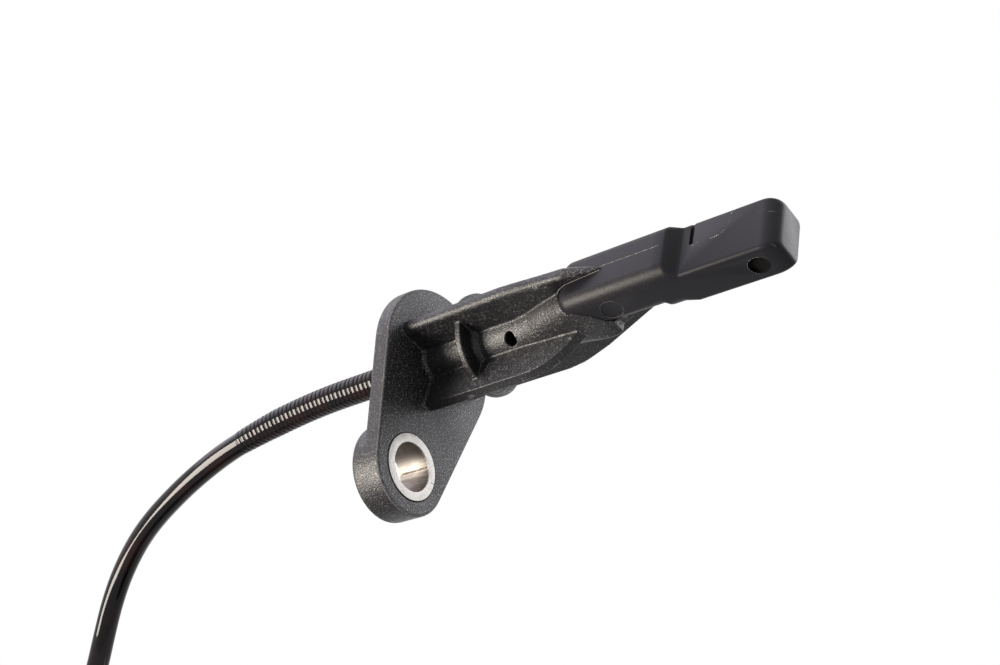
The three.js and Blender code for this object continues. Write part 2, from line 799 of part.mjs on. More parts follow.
function plugBoot() {
  const rear = -bootLength - jointGap;
  const entry = [-bootEntryRadius, bootEntryRadius];
  const [deep, wide] = [span(plugDepth), span(plugWidth)];
  const outside = loft([
    roundedRing(rear, entry, entry, bootEntryRadius),
    roundedRing(rear + bootEntryLength, entry, entry, bootEntryRadius),
    roundedRing(-bootSkirt, deep, wide, plugCornerRadius),
    roundedRing(-jointGap, deep, wide, plugCornerRadius),
  ]);
  const throat = [-bootThroat, bootThroat];
  const [innerDeep, innerWide] = [span(plugDepth, bootWall), span(plugWidth, bootWall)];
  const cavity = loft([
    roundedRing(rear + cableIntoBoot + jointGap, throat, throat, plugInnerRadius),
    roundedRing(-bootSkirt, innerDeep, innerWide, plugInnerRadius),
    roundedRing(slack, innerDeep, innerWide, plugInnerRadius),
  ]);
  const entryEnd = rear + cableIntoBoot + slack;
  const entryBore = rod(cableDiameter / 2 + wireClearance, rear - slack, entryEnd, 0, 0, 24);
  return geometryOf(outside.subtract(cavity.add(entryBore)));
}

function terminalLock() {
  return geometryOf(box(...lockSpace(0)));
}

// Materials, with colours taken by eye.
const finish = (color, roughness, metalness = 0) => ({ color, roughness, metalness });
const overmould = finish(0x3a3a3d, 0.62);
const smoothPlastic = finish(0x2a2a30, 0.42);
const tinned = finish(0xcfcbc4, 0.32, 1);
const jacket = finish(0x121214, 0.28);
const copper = finish(0xb87a4b, 0.35, 1);
const chipBlack = finish(0x17171a, 0.5);
const plugBlack = finish(0x1c1c1f, 0.5);
const wireWhite = finish(0xd8d8d0, 0.5);
const wireBlack = finish(0x1a1a1a, 0.5);
const sealRubber = finish(0xa0442a, 0.7);
const lockWhite = finish(0xd9d6cc, 0.5);

function piece(name, geometry, look) {
  const mesh = new THREE.Mesh(geometry, new THREE.MeshStandardMaterial(look));
  mesh.name = name;
  return mesh;
}

const sideName = { [-1]: 'a', 1: 'b' };
const wireLook = { [-1]: wireWhite, 1: wireBlack };
const sensor = new THREE.Group();

sensor.add(
  piece('flange_body', geometryOf(flangeBody()), overmould),
  piece('sensor_carrier', geometryOf(sensorCarrier()), smoothPlastic),
  piece('mounting_bushing', mountingBushing(), tinned),
  piece('sensing_chip', slotPiece(chipEnd - chipLength, chipLength), chipBlack),
  piece('capacitor', slotPiece(capacitorPlace, capacitorLength), chipBlack),
  piece('bend_relief', bendRelief(), jacket),
  piece('cable', cableAlong(curveThrough(cablePoints), 30), jacket),
  piece('cable_coil', cableCoil(), jacket),
  piece('cable_tail', cableTail(), jacket),
  piece('coil_tie', coilTie(), plugBlack),
  piece('plug_housing', hangPlug(plugHousing()), plugBlack),
  piece('plug_boot', hangPlug(plugBoot()), plugBlack),
  piece('terminal_lock', hangPlug(terminalLock()), lockWhite),
);

for (const side of leadSides) {
  const letter = sideName[side];
  sensor.add(
    piece(`lead_${letter}`, lead(side), tinned),
    piece(`crimp_${letter}`, crimp(side), copper),
    piece(`inner_wire_${letter}`, innerWire(side), wireLook[side]),
    piece(`plug_blade_${letter}`, hangPlug(plugBlade(side)), tinned),
    piece(`wire_seal_${letter}`, hangPlug(wireSeal(side)), sealRubber),
    piece(`plug_wire_${letter}`, hangPlug(plugWire(side)), wireLook[side]),
  );
}

export default sensor;
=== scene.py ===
"""Looks of a wheel speed sensor: an eared plastic body, its sensing bar, bushing, cable and plug.

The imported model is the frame. Each class below models one sub-assembly on it and dresses it.
All lengths in the dataclasses are millimetres, and the meshes are in metres.
"""
import json
import logging
import math
from dataclasses import dataclass
from enum import Enum
from typing import Callable, Sequence

import bpy
from mathutils import Matrix, Vector

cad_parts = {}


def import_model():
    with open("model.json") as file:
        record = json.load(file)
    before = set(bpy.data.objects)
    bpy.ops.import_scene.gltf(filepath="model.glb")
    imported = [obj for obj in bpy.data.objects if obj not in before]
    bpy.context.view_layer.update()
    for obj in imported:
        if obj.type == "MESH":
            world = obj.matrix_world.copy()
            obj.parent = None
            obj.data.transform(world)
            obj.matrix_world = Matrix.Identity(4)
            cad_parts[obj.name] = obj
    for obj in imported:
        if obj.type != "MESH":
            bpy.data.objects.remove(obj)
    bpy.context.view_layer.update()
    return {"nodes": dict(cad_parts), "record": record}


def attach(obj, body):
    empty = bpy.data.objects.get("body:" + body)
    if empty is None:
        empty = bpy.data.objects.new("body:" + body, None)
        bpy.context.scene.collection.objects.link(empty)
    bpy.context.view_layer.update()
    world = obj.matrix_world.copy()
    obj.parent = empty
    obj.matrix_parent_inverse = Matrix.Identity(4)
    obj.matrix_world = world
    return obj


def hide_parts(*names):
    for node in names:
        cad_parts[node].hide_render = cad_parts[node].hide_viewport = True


LOG = logging.getLogger("wheel_speed_sensor")
MM = 0.001

Point = tuple[float, float, float]
Colour = tuple[float, float, float]


class Axis(Enum):
    """Directions of the frame that a round form can run along."""

    X = "X"
    Z = "Z"


class Join(Enum):
    """Ways in which one solid acts on another."""

    UNION = "UNION"
    DIFFERENCE = "DIFFERENCE"


# Modelling moves that the sub-assemblies share


class Bench:
    """The modelling moves that the pieces share, made with Blender's own operators."""

    @staticmethod
    def clear() -> None:
        """Leaves edit mode and deselects everything."""
        if bpy.context.mode != "OBJECT":
            bpy.ops.object.mode_set(mode="OBJECT")
        bpy.ops.object.select_all(action="DESELECT")

    @classmethod
    def pick(cls, piece: bpy.types.Object) -> bpy.types.Object:
        """Makes one piece the only selected and active object.

        Args:
            piece: The piece.

        Returns:
            The piece.
        """
        cls.clear()
        piece.select_set(True)
        bpy.context.view_layer.objects.active = piece
        return piece

    @classmethod
    def settle(cls, name: str) -> bpy.types.Object:
        """Names the new object and moves its place into its mesh.

        Args:
            name: The piece's name.

        Returns:
            The object, at the origin.
        """
        piece = bpy.context.active_object
        piece.name = name
        piece.data.name = name
        cls.pick(piece)
        bpy.ops.object.transform_apply(location=True, rotation=True, scale=True)
        return piece

    @classmethod
    def rod(
        cls, name: str, axis: Axis, span: tuple[float, float], at: tuple[float, float],
        radii: tuple[float, float], sides: int = 64,
    ) -> bpy.types.Object:
        """A round rod or cone.

        Args:
            name: The piece's name.
            axis: The direction that it runs along.
            span: Where it starts and ends along that direction, in millimetres.
            at: Its place on the two other directions, in the order X, Y, Z, in millimetres.
            radii: Its radius at the start and at the end, in millimetres.
            sides: The number of its sides.

        Returns:
            The rod.
        """
        middle = (span[0] + span[1]) / 2
        if axis is Axis.X:
            place, turn = (middle, at[0], at[1]), (0.0, math.pi / 2, 0.0)
        else:
            place, turn = (at[0], at[1], middle), (0.0, 0.0, 0.0)
        cls.clear()
        bpy.ops.mesh.primitive_cone_add(
            vertices=sides, radius1=radii[0] * MM, radius2=radii[1] * MM,
            depth=(span[1] - span[0]) * MM, location=Vector(place) * MM, rotation=turn,
        )
        return cls.settle(name)

    @classmethod
    def block(cls, name: str, low: Point, high: Point) -> bpy.types.Object:
        """A box between two corners.

        Args:
            name: The piece's name.
            low: Its lowest corner, in millimetres.
            high: Its highest corner, in millimetres.

        Returns:
            The box.
        """
        lowest, highest = Vector(low) * MM, Vector(high) * MM
        cls.clear()
        bpy.ops.mesh.primitive_cube_add(size=1, location=(lowest + highest) / 2)
        bpy.context.active_object.scale = highest - lowest
        return cls.settle(name)

    @classmethod
    def prism(cls, name: str, outline: Sequence[Vector], sweep: Vector) -> bpy.types.Object:
        """A flat outline that is extruded along a straight line.

        Args:
            name: The piece's name.
            outline: The outline's corners in order, in millimetres.
            sweep: How far and which way it is extruded, in millimetres.

        Returns:
            The prism.
        """
        cls.clear()
        bpy.ops.mesh.primitive_circle_add(vertices=len(outline), radius=1.0, fill_type="NGON")
        piece = bpy.context.active_object
        for vertex, corner in zip(piece.data.vertices, outline):
            vertex.co = corner * MM
        bpy.ops.object.mode_set(mode="EDIT")
        bpy.ops.mesh.select_all(action="SELECT")
        bpy.ops.mesh.extrude_region_move(TRANSFORM_OT_translate={"value": sweep * MM})
        bpy.ops.mesh.select_all(action="SELECT")
        bpy.ops.mesh.normals_make_consistent(inside=False)
        return cls.settle(name)

    @classmethod
    def skin(cls, name: str, rings: Sequence[Sequence[Vector]], capped: bool = True) -> bpy.types.Object:
        """A surface over a run of rings: a grid that is wrapped round them and merged at its seam.

        Args:
            name: The piece's name.
            rings: Closed rings with equal numbers of points, in millimetres.
            capped: Whether the first and last rings are filled. If not, they are merged.

        Returns:
            The piece.
        """
        cls.clear()
        loops = list(rings) if capped else [*rings, rings[0]]
        bpy.ops.mesh.primitive_grid_add(
            x_subdivisions=len(rings[0]), y_subdivisions=len(loops) - 1, size=1.0,
        )
        piece = bpy.context.active_object
        flat = [value * MM for ring in loops for point in (*ring, ring[0]) for value in point]
        piece.data.vertices.foreach_set("co", flat)
        piece.data.update()
        bpy.ops.object.mode_set(mode="EDIT")
        bpy.ops.mesh.select_all(action="SELECT")
        bpy.ops.mesh.remove_doubles(threshold=1e-7)
        if capped:
            bpy.ops.mesh.fill_holes(sides=0)
        bpy.ops.mesh.select_all(action="SELECT")
        bpy.ops.mesh.normals_make_consistent(inside=False)
        return cls.settle(name)

    @classmethod
    def act(
        cls, body: bpy.types.Object, join: Join, tools: Sequence[bpy.types.Object],
    ) -> bpy.types.Object:
        """Joins tools to a body, or cuts them from it.

        Args:
            body: The solid that changes.
            join: What the tools do to it.
            tools: The solids that act on it, which are then removed.

        Returns:
            The body.
        """
        for tool in tools:
            cls.modify(body, "BOOLEAN", operation=join.value, solver="MANIFOLD", object=tool)
            bpy.data.objects.remove(tool)
        return body

    @classmethod
    def modify(cls, piece: bpy.types.Object, kind: str, **settings: object) -> bpy.types.Object:
        """Adds a modifier with the given settings and applies it.

        Args:
            piece: The object that changes.
            kind: The modifier's type.
            settings: The modifier's settings by name.

        Returns:
            The object.
        """
        cls.pick(piece)
        step = piece.modifiers.new(kind.lower(), kind)
        for name, value in settings.items():
            setattr(step, name, value)
        bpy.ops.object.modifier_apply(modifier=step.name)
        return piece

    @classmethod
    def ease(
        cls, piece: bpy.types.Object, width: float, segments: int, degrees: float,
    ) -> bpy.types.Object:
        """Rounds the edges that are sharper than an angle.

        Args:
            piece: The object that changes.
            width: How wide the rounds are, in millimetres.
            segments: The number of steps in a round.
            degrees: The angle.

        Returns:
            The object.
        """
        return cls.modify(
            piece, "BEVEL", width=width * MM, segments=segments, limit_method="ANGLE",
            angle_limit=math.radians(degrees),
        )

    @classmethod
    def merge(cls, name: str, pieces: Sequence[bpy.types.Object]) -> bpy.types.Object:
        """Joins the meshes of several objects into one object.

        Args:
            name: The joined object's name.
            pieces: The objects, which become one.

        Returns:
            The joined object.
        """
        cls.pick(pieces[0])
        for piece in pieces:
            piece.select_set(True)
        bpy.ops.object.join()
        return cls.settle(name)

    @classmethod
    def smooth(cls, piece: bpy.types.Object, degrees: float = 35.0) -> bpy.types.Object:
        """Shades a piece smooth across edges that are flatter than an angle.

        Args:
            piece: The piece.
            degrees: The angle.

        Returns:
            The piece.
        """
        cls.pick(piece)
        bpy.ops.object.shade_smooth_by_angle(angle=math.radians(degrees))
        return piece

    @classmethod
    def mould(
        cls, piece: bpy.types.Object, voxel: float, rounding: int, faces: int,
    ) -> bpy.types.Object:
        """Turns joined solids into one moulded skin with small fillets at its edges.

        Args:
            piece: The solids.
            voxel: The size of the new skin's cells, in millimetres.
            rounding: How many times the skin is relaxed.
            faces: The most triangles that it may keep.

        Returns:
            The piece.
        """
        cls.modify(piece, "REMESH", mode="VOXEL", voxel_size=voxel * MM)
        cls.modify(piece, "SMOOTH", factor=0.5, iterations=rounding)
        cls.modify(piece, "TRIANGULATE")
        triangles = len(piece.data.polygons)
        if triangles > faces:
            cls.modify(piece, "DECIMATE", ratio=faces / triangles)
        return cls.smooth(piece, 60)


def arc(
    centre: tuple[float, float], radius: float, span: tuple[float, float], steps: int,
) -> list[tuple[float, float]]:
    """Points on a flat arc.

    Args:
        centre: The arc's centre.
        radius: Its radius.
        span: Its start and end angles in degrees.
        steps: The number of its straight steps.

    Returns:
        The points, both ends included.
    """
    angles = [math.radians(span[0] + (span[1] - span[0]) * k / steps) for k in range(steps + 1)]
    return [(centre[0] + radius * math.cos(a), centre[1] + radius * math.sin(a)) for a in angles]


def rounded_ring(
    x: float, y_span: tuple[float, float], z_span: tuple[float, float], radius: float, steps: int,
) -> list[Vector]:
    """A rectangle across X with a round at each corner.

    Args:
        x: Where the ring lies along X.
        y_span: Its lowest and highest Y.
        z_span: Its lowest and highest Z.
        radius: The radius of its corners.
        steps: The straight steps in each corner.

    Returns:
        The ring's points in order.
    """
    corners = ((1, 1, 0), (-1, 1, 90), (-1, -1, 180), (1, -1, 270))
    points: list[Vector] = []
    for side, level, turn in corners:
        centre = (
            (y_span[1] if side > 0 else y_span[0]) - side * radius,
            (z_span[1] if level > 0 else z_span[0]) - level * radius,
        )
        points += [Vector((x, y, z)) for y, z in arc(centre, radius, (turn, turn + 90), steps)]
    return points


def smooth_path(points: Sequence[Point], step: float) -> list[Vector]:
    """A smooth curve through points, cut into near-equal steps.

    Args:
        points: The points that the curve passes through.
        step: The wanted length of a step.

    Returns:
        The points along the curve.
    """
    knots = [Vector(p) for p in points]
    knots = [2 * knots[0] - knots[1], *knots, 2 * knots[-1] - knots[-2]]
    fine: list[Vector] = []
    for a, b, c, d in zip(knots, knots[1:], knots[2:], knots[3:]):
        count = max(2, math.ceil((c - b).length / step * 4))
        for k in range(count):
            t = k / count
            fine.append(0.5 * (
                2 * b + (c - a) * t + (2 * a - 5 * b + 4 * c - d) * t ** 2
                + (3 * b - a - 3 * c + d) * t ** 3
            ))
    fine.append(knots[-2])
    lengths = [0.0]
    for a, b in zip(fine, fine[1:]):
        lengths.append(lengths[-1] + (b - a).length)
    count = max(1, round(lengths[-1] / step))
    path: list[Vector] = []
    at = 0
    for k in range(count + 1):
        target = lengths[-1] * k / count
        while at < len(fine) - 2 and lengths[at + 1] < target:
            at += 1
        share = (target - lengths[at]) / max(1e-9, lengths[at + 1] - lengths[at])
        path.append(fine[at].lerp(fine[at + 1], share))
    return path


def sweep_rings(
    path: Sequence[Vector], sides: int, radius_at: Callable[[float, float], float],
) -> list[list[Vector]]:
    """Rings round a path.

    Args:
        path: The path's points.
        sides: The number of points in a ring.
        radius_at: The radius for a distance along the path and an angle round it. The angle is
            zero on the side that faces up.

    Returns:
        The rings.
    """
    rings: list[list[Vector]] = []
    along = 0.0
    side = Vector((0.0, 1.0, 0.0))
    for k, centre in enumerate(path):
        ahead = (path[min(k + 1, len(path) - 1)] - path[max(k - 1, 0)]).normalized()
        side = (side - ahead * side.dot(ahead)).normalized()
        up = side.cross(ahead).normalized()
        if k:
            along += (centre - path[k - 1]).length
        ring = []
        for i in range(sides):
            angle = 2 * math.pi * i / sides
            radius = radius_at(along, angle)
            ring.append(centre + up * (radius * math.cos(angle)) + side * (radius * math.sin(angle)))
        rings.append(ring)
    return rings


# Shader expressions


class Value:
    """A shader socket that takes part in Python arithmetic. Each operator adds a Math node."""

    def __init__(self, graph: "Graph", socket: bpy.types.NodeSocket) -> None:
        """Wraps one output socket of a graph."""
        self.graph = graph
        self.socket = socket

    def _math(self, operation: str, first: object, second: object) -> "Value":
        """The result of a Math node on two values or numbers."""
        return self.graph.add("ShaderNodeMath", {"operation": operation}, {0: first, 1: second})

    def __add__(self, other: object) -> "Value":
        """Sum."""
        return self._math("ADD", self, other)

    __radd__ = __add__

    def __sub__(self, other: object) -> "Value":
        """Difference."""
        return self._math("SUBTRACT", self, other)

    def __rsub__(self, other: object) -> "Value":
        """Difference with the number first."""
        return self._math("SUBTRACT", other, self)

    def __mul__(self, other: object) -> "Value":
        """Product."""
        return self._math("MULTIPLY", self, other)

    __rmul__ = __mul__

    def __pow__(self, other: object) -> "Value":
        """Power."""
        return self._math("POWER", self, other)

    def __abs__(self) -> "Value":
        """Size without sign."""
        return self._math("ABSOLUTE", self, 0.0)

    def low(self, other: object) -> "Value":
        """The smaller of two."""
        return self._math("MINIMUM", self, other)

    def high(self, other: object) -> "Value":
        """The larger of two."""
        return self._math("MAXIMUM", self, other)

    def rise(self, start: float, end: float) -> "Value":
        """Goes smoothly from 0 at start to 1 at end.

        Args:
            start: The value that gives 0.
            end: The value that gives 1.

        Returns:
            The smooth step.
        """
        return self.graph.add(
            "ShaderNodeMapRange", {"interpolation_type": "SMOOTHSTEP", "clamp": True},
            {"Value": self, "From Min": start, "From Max": end, "To Min": 0.0, "To Max": 1.0},
        )

    def near(self, place: float, reach: float) -> "Value":
        """1 at a place, falling smoothly to 0 at a distance from it."""
        return 1 - abs(self - place).rise(0.0, reach)


class Graph:
    """The node tree of one material."""

    def __init__(self, name: str) -> None:
        """Starts a material with one Principled shader.

        Args:
            name: The material's name.
        """
        self.material = bpy.data.materials.new(name)
        self.material.use_nodes = True
        self.tree = self.material.node_tree
        self.shader = self.tree.nodes["Principled BSDF"]
        self.place = self.output(self.tree.nodes.new("ShaderNodeTexCoord"), "Object")

    def output(self, node: bpy.types.Node, name: str | int) -> Value:
        """One output of a node as a value."""
        return Value(self, node.outputs[name])

    def add(
        self, kind: str, settings: dict[str, object], inputs: dict[str | int, object],
        result: str | int = 0,
    ) -> Value:
        """Adds a node.

        Args:
            kind: The node's type.
            settings: Its settings, which are set before its sockets.
            inputs: The value or link of each socket.
            result: The output that is wanted.

        Returns:
            That output.
        """
        node = self.tree.nodes.new(kind)
        for name, value in settings.items():
            setattr(node, name, value)
        for name, value in inputs.items():
            self.feed(node.inputs[name], value)
        return self.output(node, result)

    def feed(self, socket: bpy.types.NodeSocket, value: object) -> None:
        """Links a value to a socket, or sets the socket's own value.

        Args:
            socket: The socket.
            value: A value of this graph, a number, a colour or a vector.
        """
        if isinstance(value, Value):
            self.tree.links.new(value.socket, socket)
        elif socket.type == "RGBA":
            socket.default_value = (*value, 1.0)
        else:
            socket.default_value = value

    def set(self, **sockets: object) -> None:
        """Feeds sockets of the Principled shader. An underscore stands for a space."""
        for name, value in sockets.items():
            self.feed(self.shader.inputs[name.replace("_", " ")], value)

    def noise(
        self, size: float, detail: float = 2.0, rough: float = 0.5, at: Value | None = None,
    ) -> Value:
        """Noise with a feature size.

        Args:
            size: The size of its features, in millimetres.
            detail: Its finer octaves.
            rough: How strong they are.
            at: The coordinates, or none for the object's own.

        Returns:
            The noise, from 0 to 1.
        """
        return self.add(
            "ShaderNodeTexNoise", {"noise_dimensions": "3D"},
            {"Vector": at or self.place, "Scale": 1 / (size * MM), "Detail": detail, "Roughness": rough},
        )

    def split(self) -> tuple[Value, Value, Value]:
        """The object's coordinates.

        Returns:
            X, Y and Z in millimetres.
        """
        node = self.tree.nodes.new("ShaderNodeSeparateXYZ")
        self.feed(node.inputs[0], self.place)
        return tuple(self.output(node, k) * 1000.0 for k in range(3))

    def stretch(self, x: float, y: float, z: float) -> Value:
        """The object's coordinates, scaled on each axis."""
        return self.add("ShaderNodeMapping", {}, {"Vector": self.place, "Scale": (x, y, z)})

    def mix(self, share: object, first: object, second: object) -> Value:
        """A colour between two.

        Args:
            share: 0 for the first and 1 for the second.
            first: A colour.
            second: A colour.

        Returns:
            The mixed colour.
        """
        return self.add(
            "ShaderNodeMix", {"data_type": "RGBA"}, {0: share, 6: first, 7: second}, 2,
        )

    def bump(self, height: Value, depth: float) -> Value:
        """A bumped normal.

        Args:
            height: The height, from 0 to 1.
            depth: How far 1 stands above 0, in millimetres.

        Returns:
            The normal.
        """
        return self.add(
            "ShaderNodeBump", {}, {"Height": height, "Distance": depth * MM, "Strength": 1.0},
        )


# Finishes


@dataclass(frozen=True)
class GrainedPlastic:
    """Moulded plastic with a fine spark-eroded grain, whose crests catch the light.

    On the body the pale flecks are painted stronger on the flange's front face and on the tongue over the
    bar, as painted glints where the light falls.
    Convex edges are painted pale, partly as wear and partly as painted edge highlight, and the flange's
    eased rim and the tongue's crest get a painted highlight.
    """

    name: str
    dark: Colour
    pale: Colour
    grain: float = 0.3
    depth: float = 0.05
    roughness: float = 0.5
    specular: float = 0.5
    wear_and_highlight: float = 0.5
    edges: tuple[float, float] = (0.515, 0.56)

    def build(self) -> bpy.types.Material:
        """Makes the material.

        Returns:
            The material.
        """
        g = Graph(self.name)
        coarse = g.noise(self.grain * 2.4, 1.0)
        fine = g.noise(self.grain, 1.5, 0.6)
        crest = fine.rise(0.53, 0.62)
        cloud = g.noise(9.0, 3.0).rise(0.3, 0.75)
        # Convex edges are painted pale: partly wear, partly painted edge highlight.
        edge = g.add("ShaderNodeNewGeometry", {}, {}, "Pointiness").rise(*self.edges)
        worn = edge * (0.3 + 0.7 * g.noise(1.2, 2.0).rise(0.35, 0.6))
        x, y, _ = g.split()
        face = (0.8 - x).rise(0.0, 0.6) * (x + 0.3).rise(0.0, 0.2)
        # Painted highlight: a pale line along the flange's eased front rim.
        rim = (0.0 - x).rise(0.03, 0.1) * (x + 0.42).rise(0.0, 0.1)
        # Painted sheen: the tongue's crest over the bar is painted paler, with stronger pale flecks.
        tongue = (x - 31.6).rise(0.0, 2.0) * (-6.98 - y).rise(0.0, 0.1)
        # Painted glints: the pale flecks are real grain, painted stronger on the flange's front face and
        # the tongue, where the light falls.
        lit = 0.27 + 0.73 * face.high(tongue * 0.7)
        speckle_and_painted_glint = crest * (0.35 + 0.65 * coarse.rise(0.4, 0.62)) * lit
        # Pale on edges, the flange's rim and the tongue: partly wear, partly painted highlight.
        worn_and_painted_highlight = (worn + rim + tongue * 0.16) * self.wear_and_highlight
        base = g.mix((speckle_and_painted_glint + worn_and_painted_highlight).low(1.0), self.dark, self.pale)
        g.set(
            Base_Color=g.mix(cloud * 0.3, base, self.dark),
            Roughness=self.roughness + 0.08 * cloud + 0.11 * face - 0.12 * crest,
            Specular_IOR_Level=self.specular,
            Normal=g.bump(fine * 0.75 + coarse * 0.25, self.depth),
        )
        return g.material


@dataclass(frozen=True)
class SmoothPlastic:
    """Smooth moulded plastic with faint flow marks and light handling marks."""

    name: str
    colour: Colour
    worn: Colour
    roughness: float = 0.4
    specular: float = 0.5
    scuffs: float = 0.5

    def build(self) -> bpy.types.Material:
        """Makes the material.

        Returns:
            The material.
        """
        g = Graph(self.name)
        flow = g.noise(5.0, 3.0, 0.6, g.stretch(0.25, 1.0, 1.0))
        dust = g.noise(0.35, 2.0).rise(0.66, 0.8)
        scratch = g.noise(0.5, 2.0, 0.6, g.stretch(0.09, 1.0, 1.0)).rise(0.64, 0.74)
        marks = (dust * 0.4 + scratch * 0.6) * self.scuffs
        g.set(
            Base_Color=g.mix(marks * 0.6, g.mix(flow * 0.3, self.colour, self.worn), self.worn),
            Roughness=self.roughness + 0.1 * flow + 0.12 * marks,
            Specular_IOR_Level=self.specular,
            Normal=g.bump(g.noise(0.6, 2.0) * 0.5 + flow * 0.5, 0.012),
        )
        return g.material


@dataclass(frozen=True)
class BarPlastic:
    """The bar's satin plastic, with a warm grain on the long corners of its root.

    The root's warm flecks are partly real grain and partly painted highlight. Its end is scuffed, and the
    well of the tip's pin mark is painted near-black, as painted shade in the recess.
    """

    name: str
    colour: Colour
    grain: Colour
    scuffed: Colour = (0.14, 0.13, 0.13)
    # Painted shade: the near-black of the tip pin mark's well.
    well: Colour = (0.004, 0.0036, 0.0036)
    roughness: float = 0.42
    specular: float = 0.25

    def build(self) -> bpy.types.Material:
        """Makes the material.

        Returns:
            The material.
        """
        g = Graph(self.name)
        x, y, z = g.split()
        fine = g.noise(0.26, 1.5, 0.6)
        flow = g.noise(3.0, 2.0, 0.5, g.stretch(0.3, 1.0, 1.0))
        lines = g.noise(0.3, 2.0, 0.6, g.stretch(1.0, 0.12, 0.12))
        corner = (-4.0 - y).rise(0.0, 1.2) * (abs(z - 0.6) - 2.6).rise(0.0, 1.0)
        root = (49.0 - x).rise(0.0, 1.5)
        nose = (33.0 - x).rise(0.0, 1.5)
        # Warm pale flecks on the root's long corners and on the nose; on the corners they are partly real
        # grain, partly painted highlight.
        grained = (corner * root).high(nose * 0.8)
        fleck_and_highlight = fine.rise(0.46, 0.62) * grained
        end = (x - 64.6).rise(0.0, 1.2)
        scuff = g.noise(0.5, 2.0, 0.6, g.stretch(0.16, 0.16, 1.4)).rise(0.64, 0.74) * end
        pin_x, pin_y = SensingBar.tip_pin
        off_pin = ((x - pin_x) ** 2 + (y - pin_y) ** 2) ** 0.5
        # Painted shade: the well of the tip's pin mark is painted near-black.
        dark = (1.8 - off_pin).rise(0.0, 0.06) * (z + 4.58).rise(0.0, 0.05) * (-2.6 - z).rise(0.0, 0.1)
        base = g.mix(fleck_and_highlight * 0.8, self.colour, self.grain)
        g.set(
            Base_Color=g.mix(dark, g.mix(scuff * 0.7, base, self.scuffed), self.well),
            Roughness=(self.roughness + 0.05 * flow + 0.02 * grained - 0.05 * fleck_and_highlight).high(dark),
            Specular_IOR_Level=self.specular,
            Normal=g.bump(
                lines * 0.25 + flow * 0.1 + fine * grained * 0.65 + g.noise(1.4, 2.0) * end * 0.5, 0.035,
            ),
        )
        return g.material


@dataclass(frozen=True)
class CableJacket:
    """The glossy jacket of a cable, with a faint drawn texture and cloudy patches of a maroon tint that
    are a painted reflection.
    """

    name: str
    colour: Colour
    maroon_reflection: Colour
    roughness: float = 0.05
    specular: float = 0.21

    def build(self) -> bpy.types.Material:
        """Makes the material.

        Returns:
            The material.
        """
        g = Graph(self.name)
        # Painted reflection: cloudy patches of the maroon tint on the black jacket.
        cloud = g.noise(7.0, 3.0)
        g.set(
            Base_Color=g.mix(cloud.rise(0.35, 0.7), self.colour, self.maroon_reflection),
            Roughness=self.roughness + 0.06 * g.noise(1.6, 2.0),
            Specular_IOR_Level=self.specular,
            Normal=g.bump(g.noise(1.6, 2.0), 0.008),
        )
        return g.material


@dataclass(frozen=True)
class RolledMetal:
    """Bright metal with fine marks along its rolling direction."""

    name: str
    colour: Colour
    shade: Colour
    roughness: float = 0.25

    def build(self) -> bpy.types.Material:
        """Makes the material.

        Returns:
            The material.
        """
        g = Graph(self.name)
        lines = g.noise(0.14, 2.0, 0.6, g.stretch(1.0, 0.2, 0.2))
        cloud = g.noise(2.6, 2.0)
        shaded = cloud.rise(0.42, 0.7) * 0.35 + lines.rise(0.5, 0.7) * 0.3
        g.set(
            Base_Color=g.mix(shaded, self.colour, self.shade),
            Metallic=1.0,
            Roughness=self.roughness + 0.12 * lines.rise(0.4, 0.7) + 0.04 * cloud,
            Normal=g.bump(lines * 0.9 + cloud * 0.1, 0.004),
        )
        return g.material


@dataclass(frozen=True)
class SleeveMetal:
    """The rolled bushing's metal, its front face painted paler than its bore as painted light; in the
    bore, painted shade below the score, streaks, a score line painted dark as painted shade, and a darker
    top.
    """

    name: str
    rim: Colour
    bore: Colour
    bore_dark: Colour
    scored: Colour = (0.03, 0.025, 0.022)
    roughness: float = 0.5
    score: float = -19.9

    def build(self) -> bpy.types.Material:
        """Makes the material.

        Returns:
            The material.
        """
        g = Graph(self.name)
        x, y, z = g.split()
        lines = g.noise(0.3, 3.0, 0.6, g.stretch(0.1, 1.0, 1.0))
        cloud = g.noise(1.6, 2.0)
        # Painted shade: the bore is painted darker below the score on its +Y side, broken by real
        # streaks.
        low = (self.score - z).rise(0.0, 0.15) * y.rise(0.0, 0.5)
        # Painted shade: the score line is painted dark, as the shade in its groove.
        score = z.near(self.score + 0.08, 0.2) * y.rise(0.0, 0.5) * g.noise(0.8, 2.0).rise(0.3, 0.5)
        # The bore is darker at its top.
        high = (z + 19.0).rise(0.0, 0.9)
        shade_and_streaks = low * (0.4 + 0.5 * lines.rise(0.4, 0.6))
        marks = (shade_and_streaks + high * 0.6 + cloud.rise(0.5, 0.75) * 0.3).low(1.0)
        # Painted light: the front face takes the paler rim colour and the bore the darker one, though
        # both are one metal.
        face = (x + 0.2).rise(0.0, 0.1)
        bright = g.mix(cloud.rise(0.45, 0.7) * 0.25, self.rim, self.bore)
        inside = g.mix(score, g.mix(marks, self.bore, self.bore_dark), self.scored)
        g.set(
            Base_Color=g.mix(face, inside, bright),
            Metallic=1.0,
            Roughness=self.roughness + 0.1 * lines.rise(0.4, 0.7),
            Normal=g.bump(lines, 0.006),
        )
        return g.material


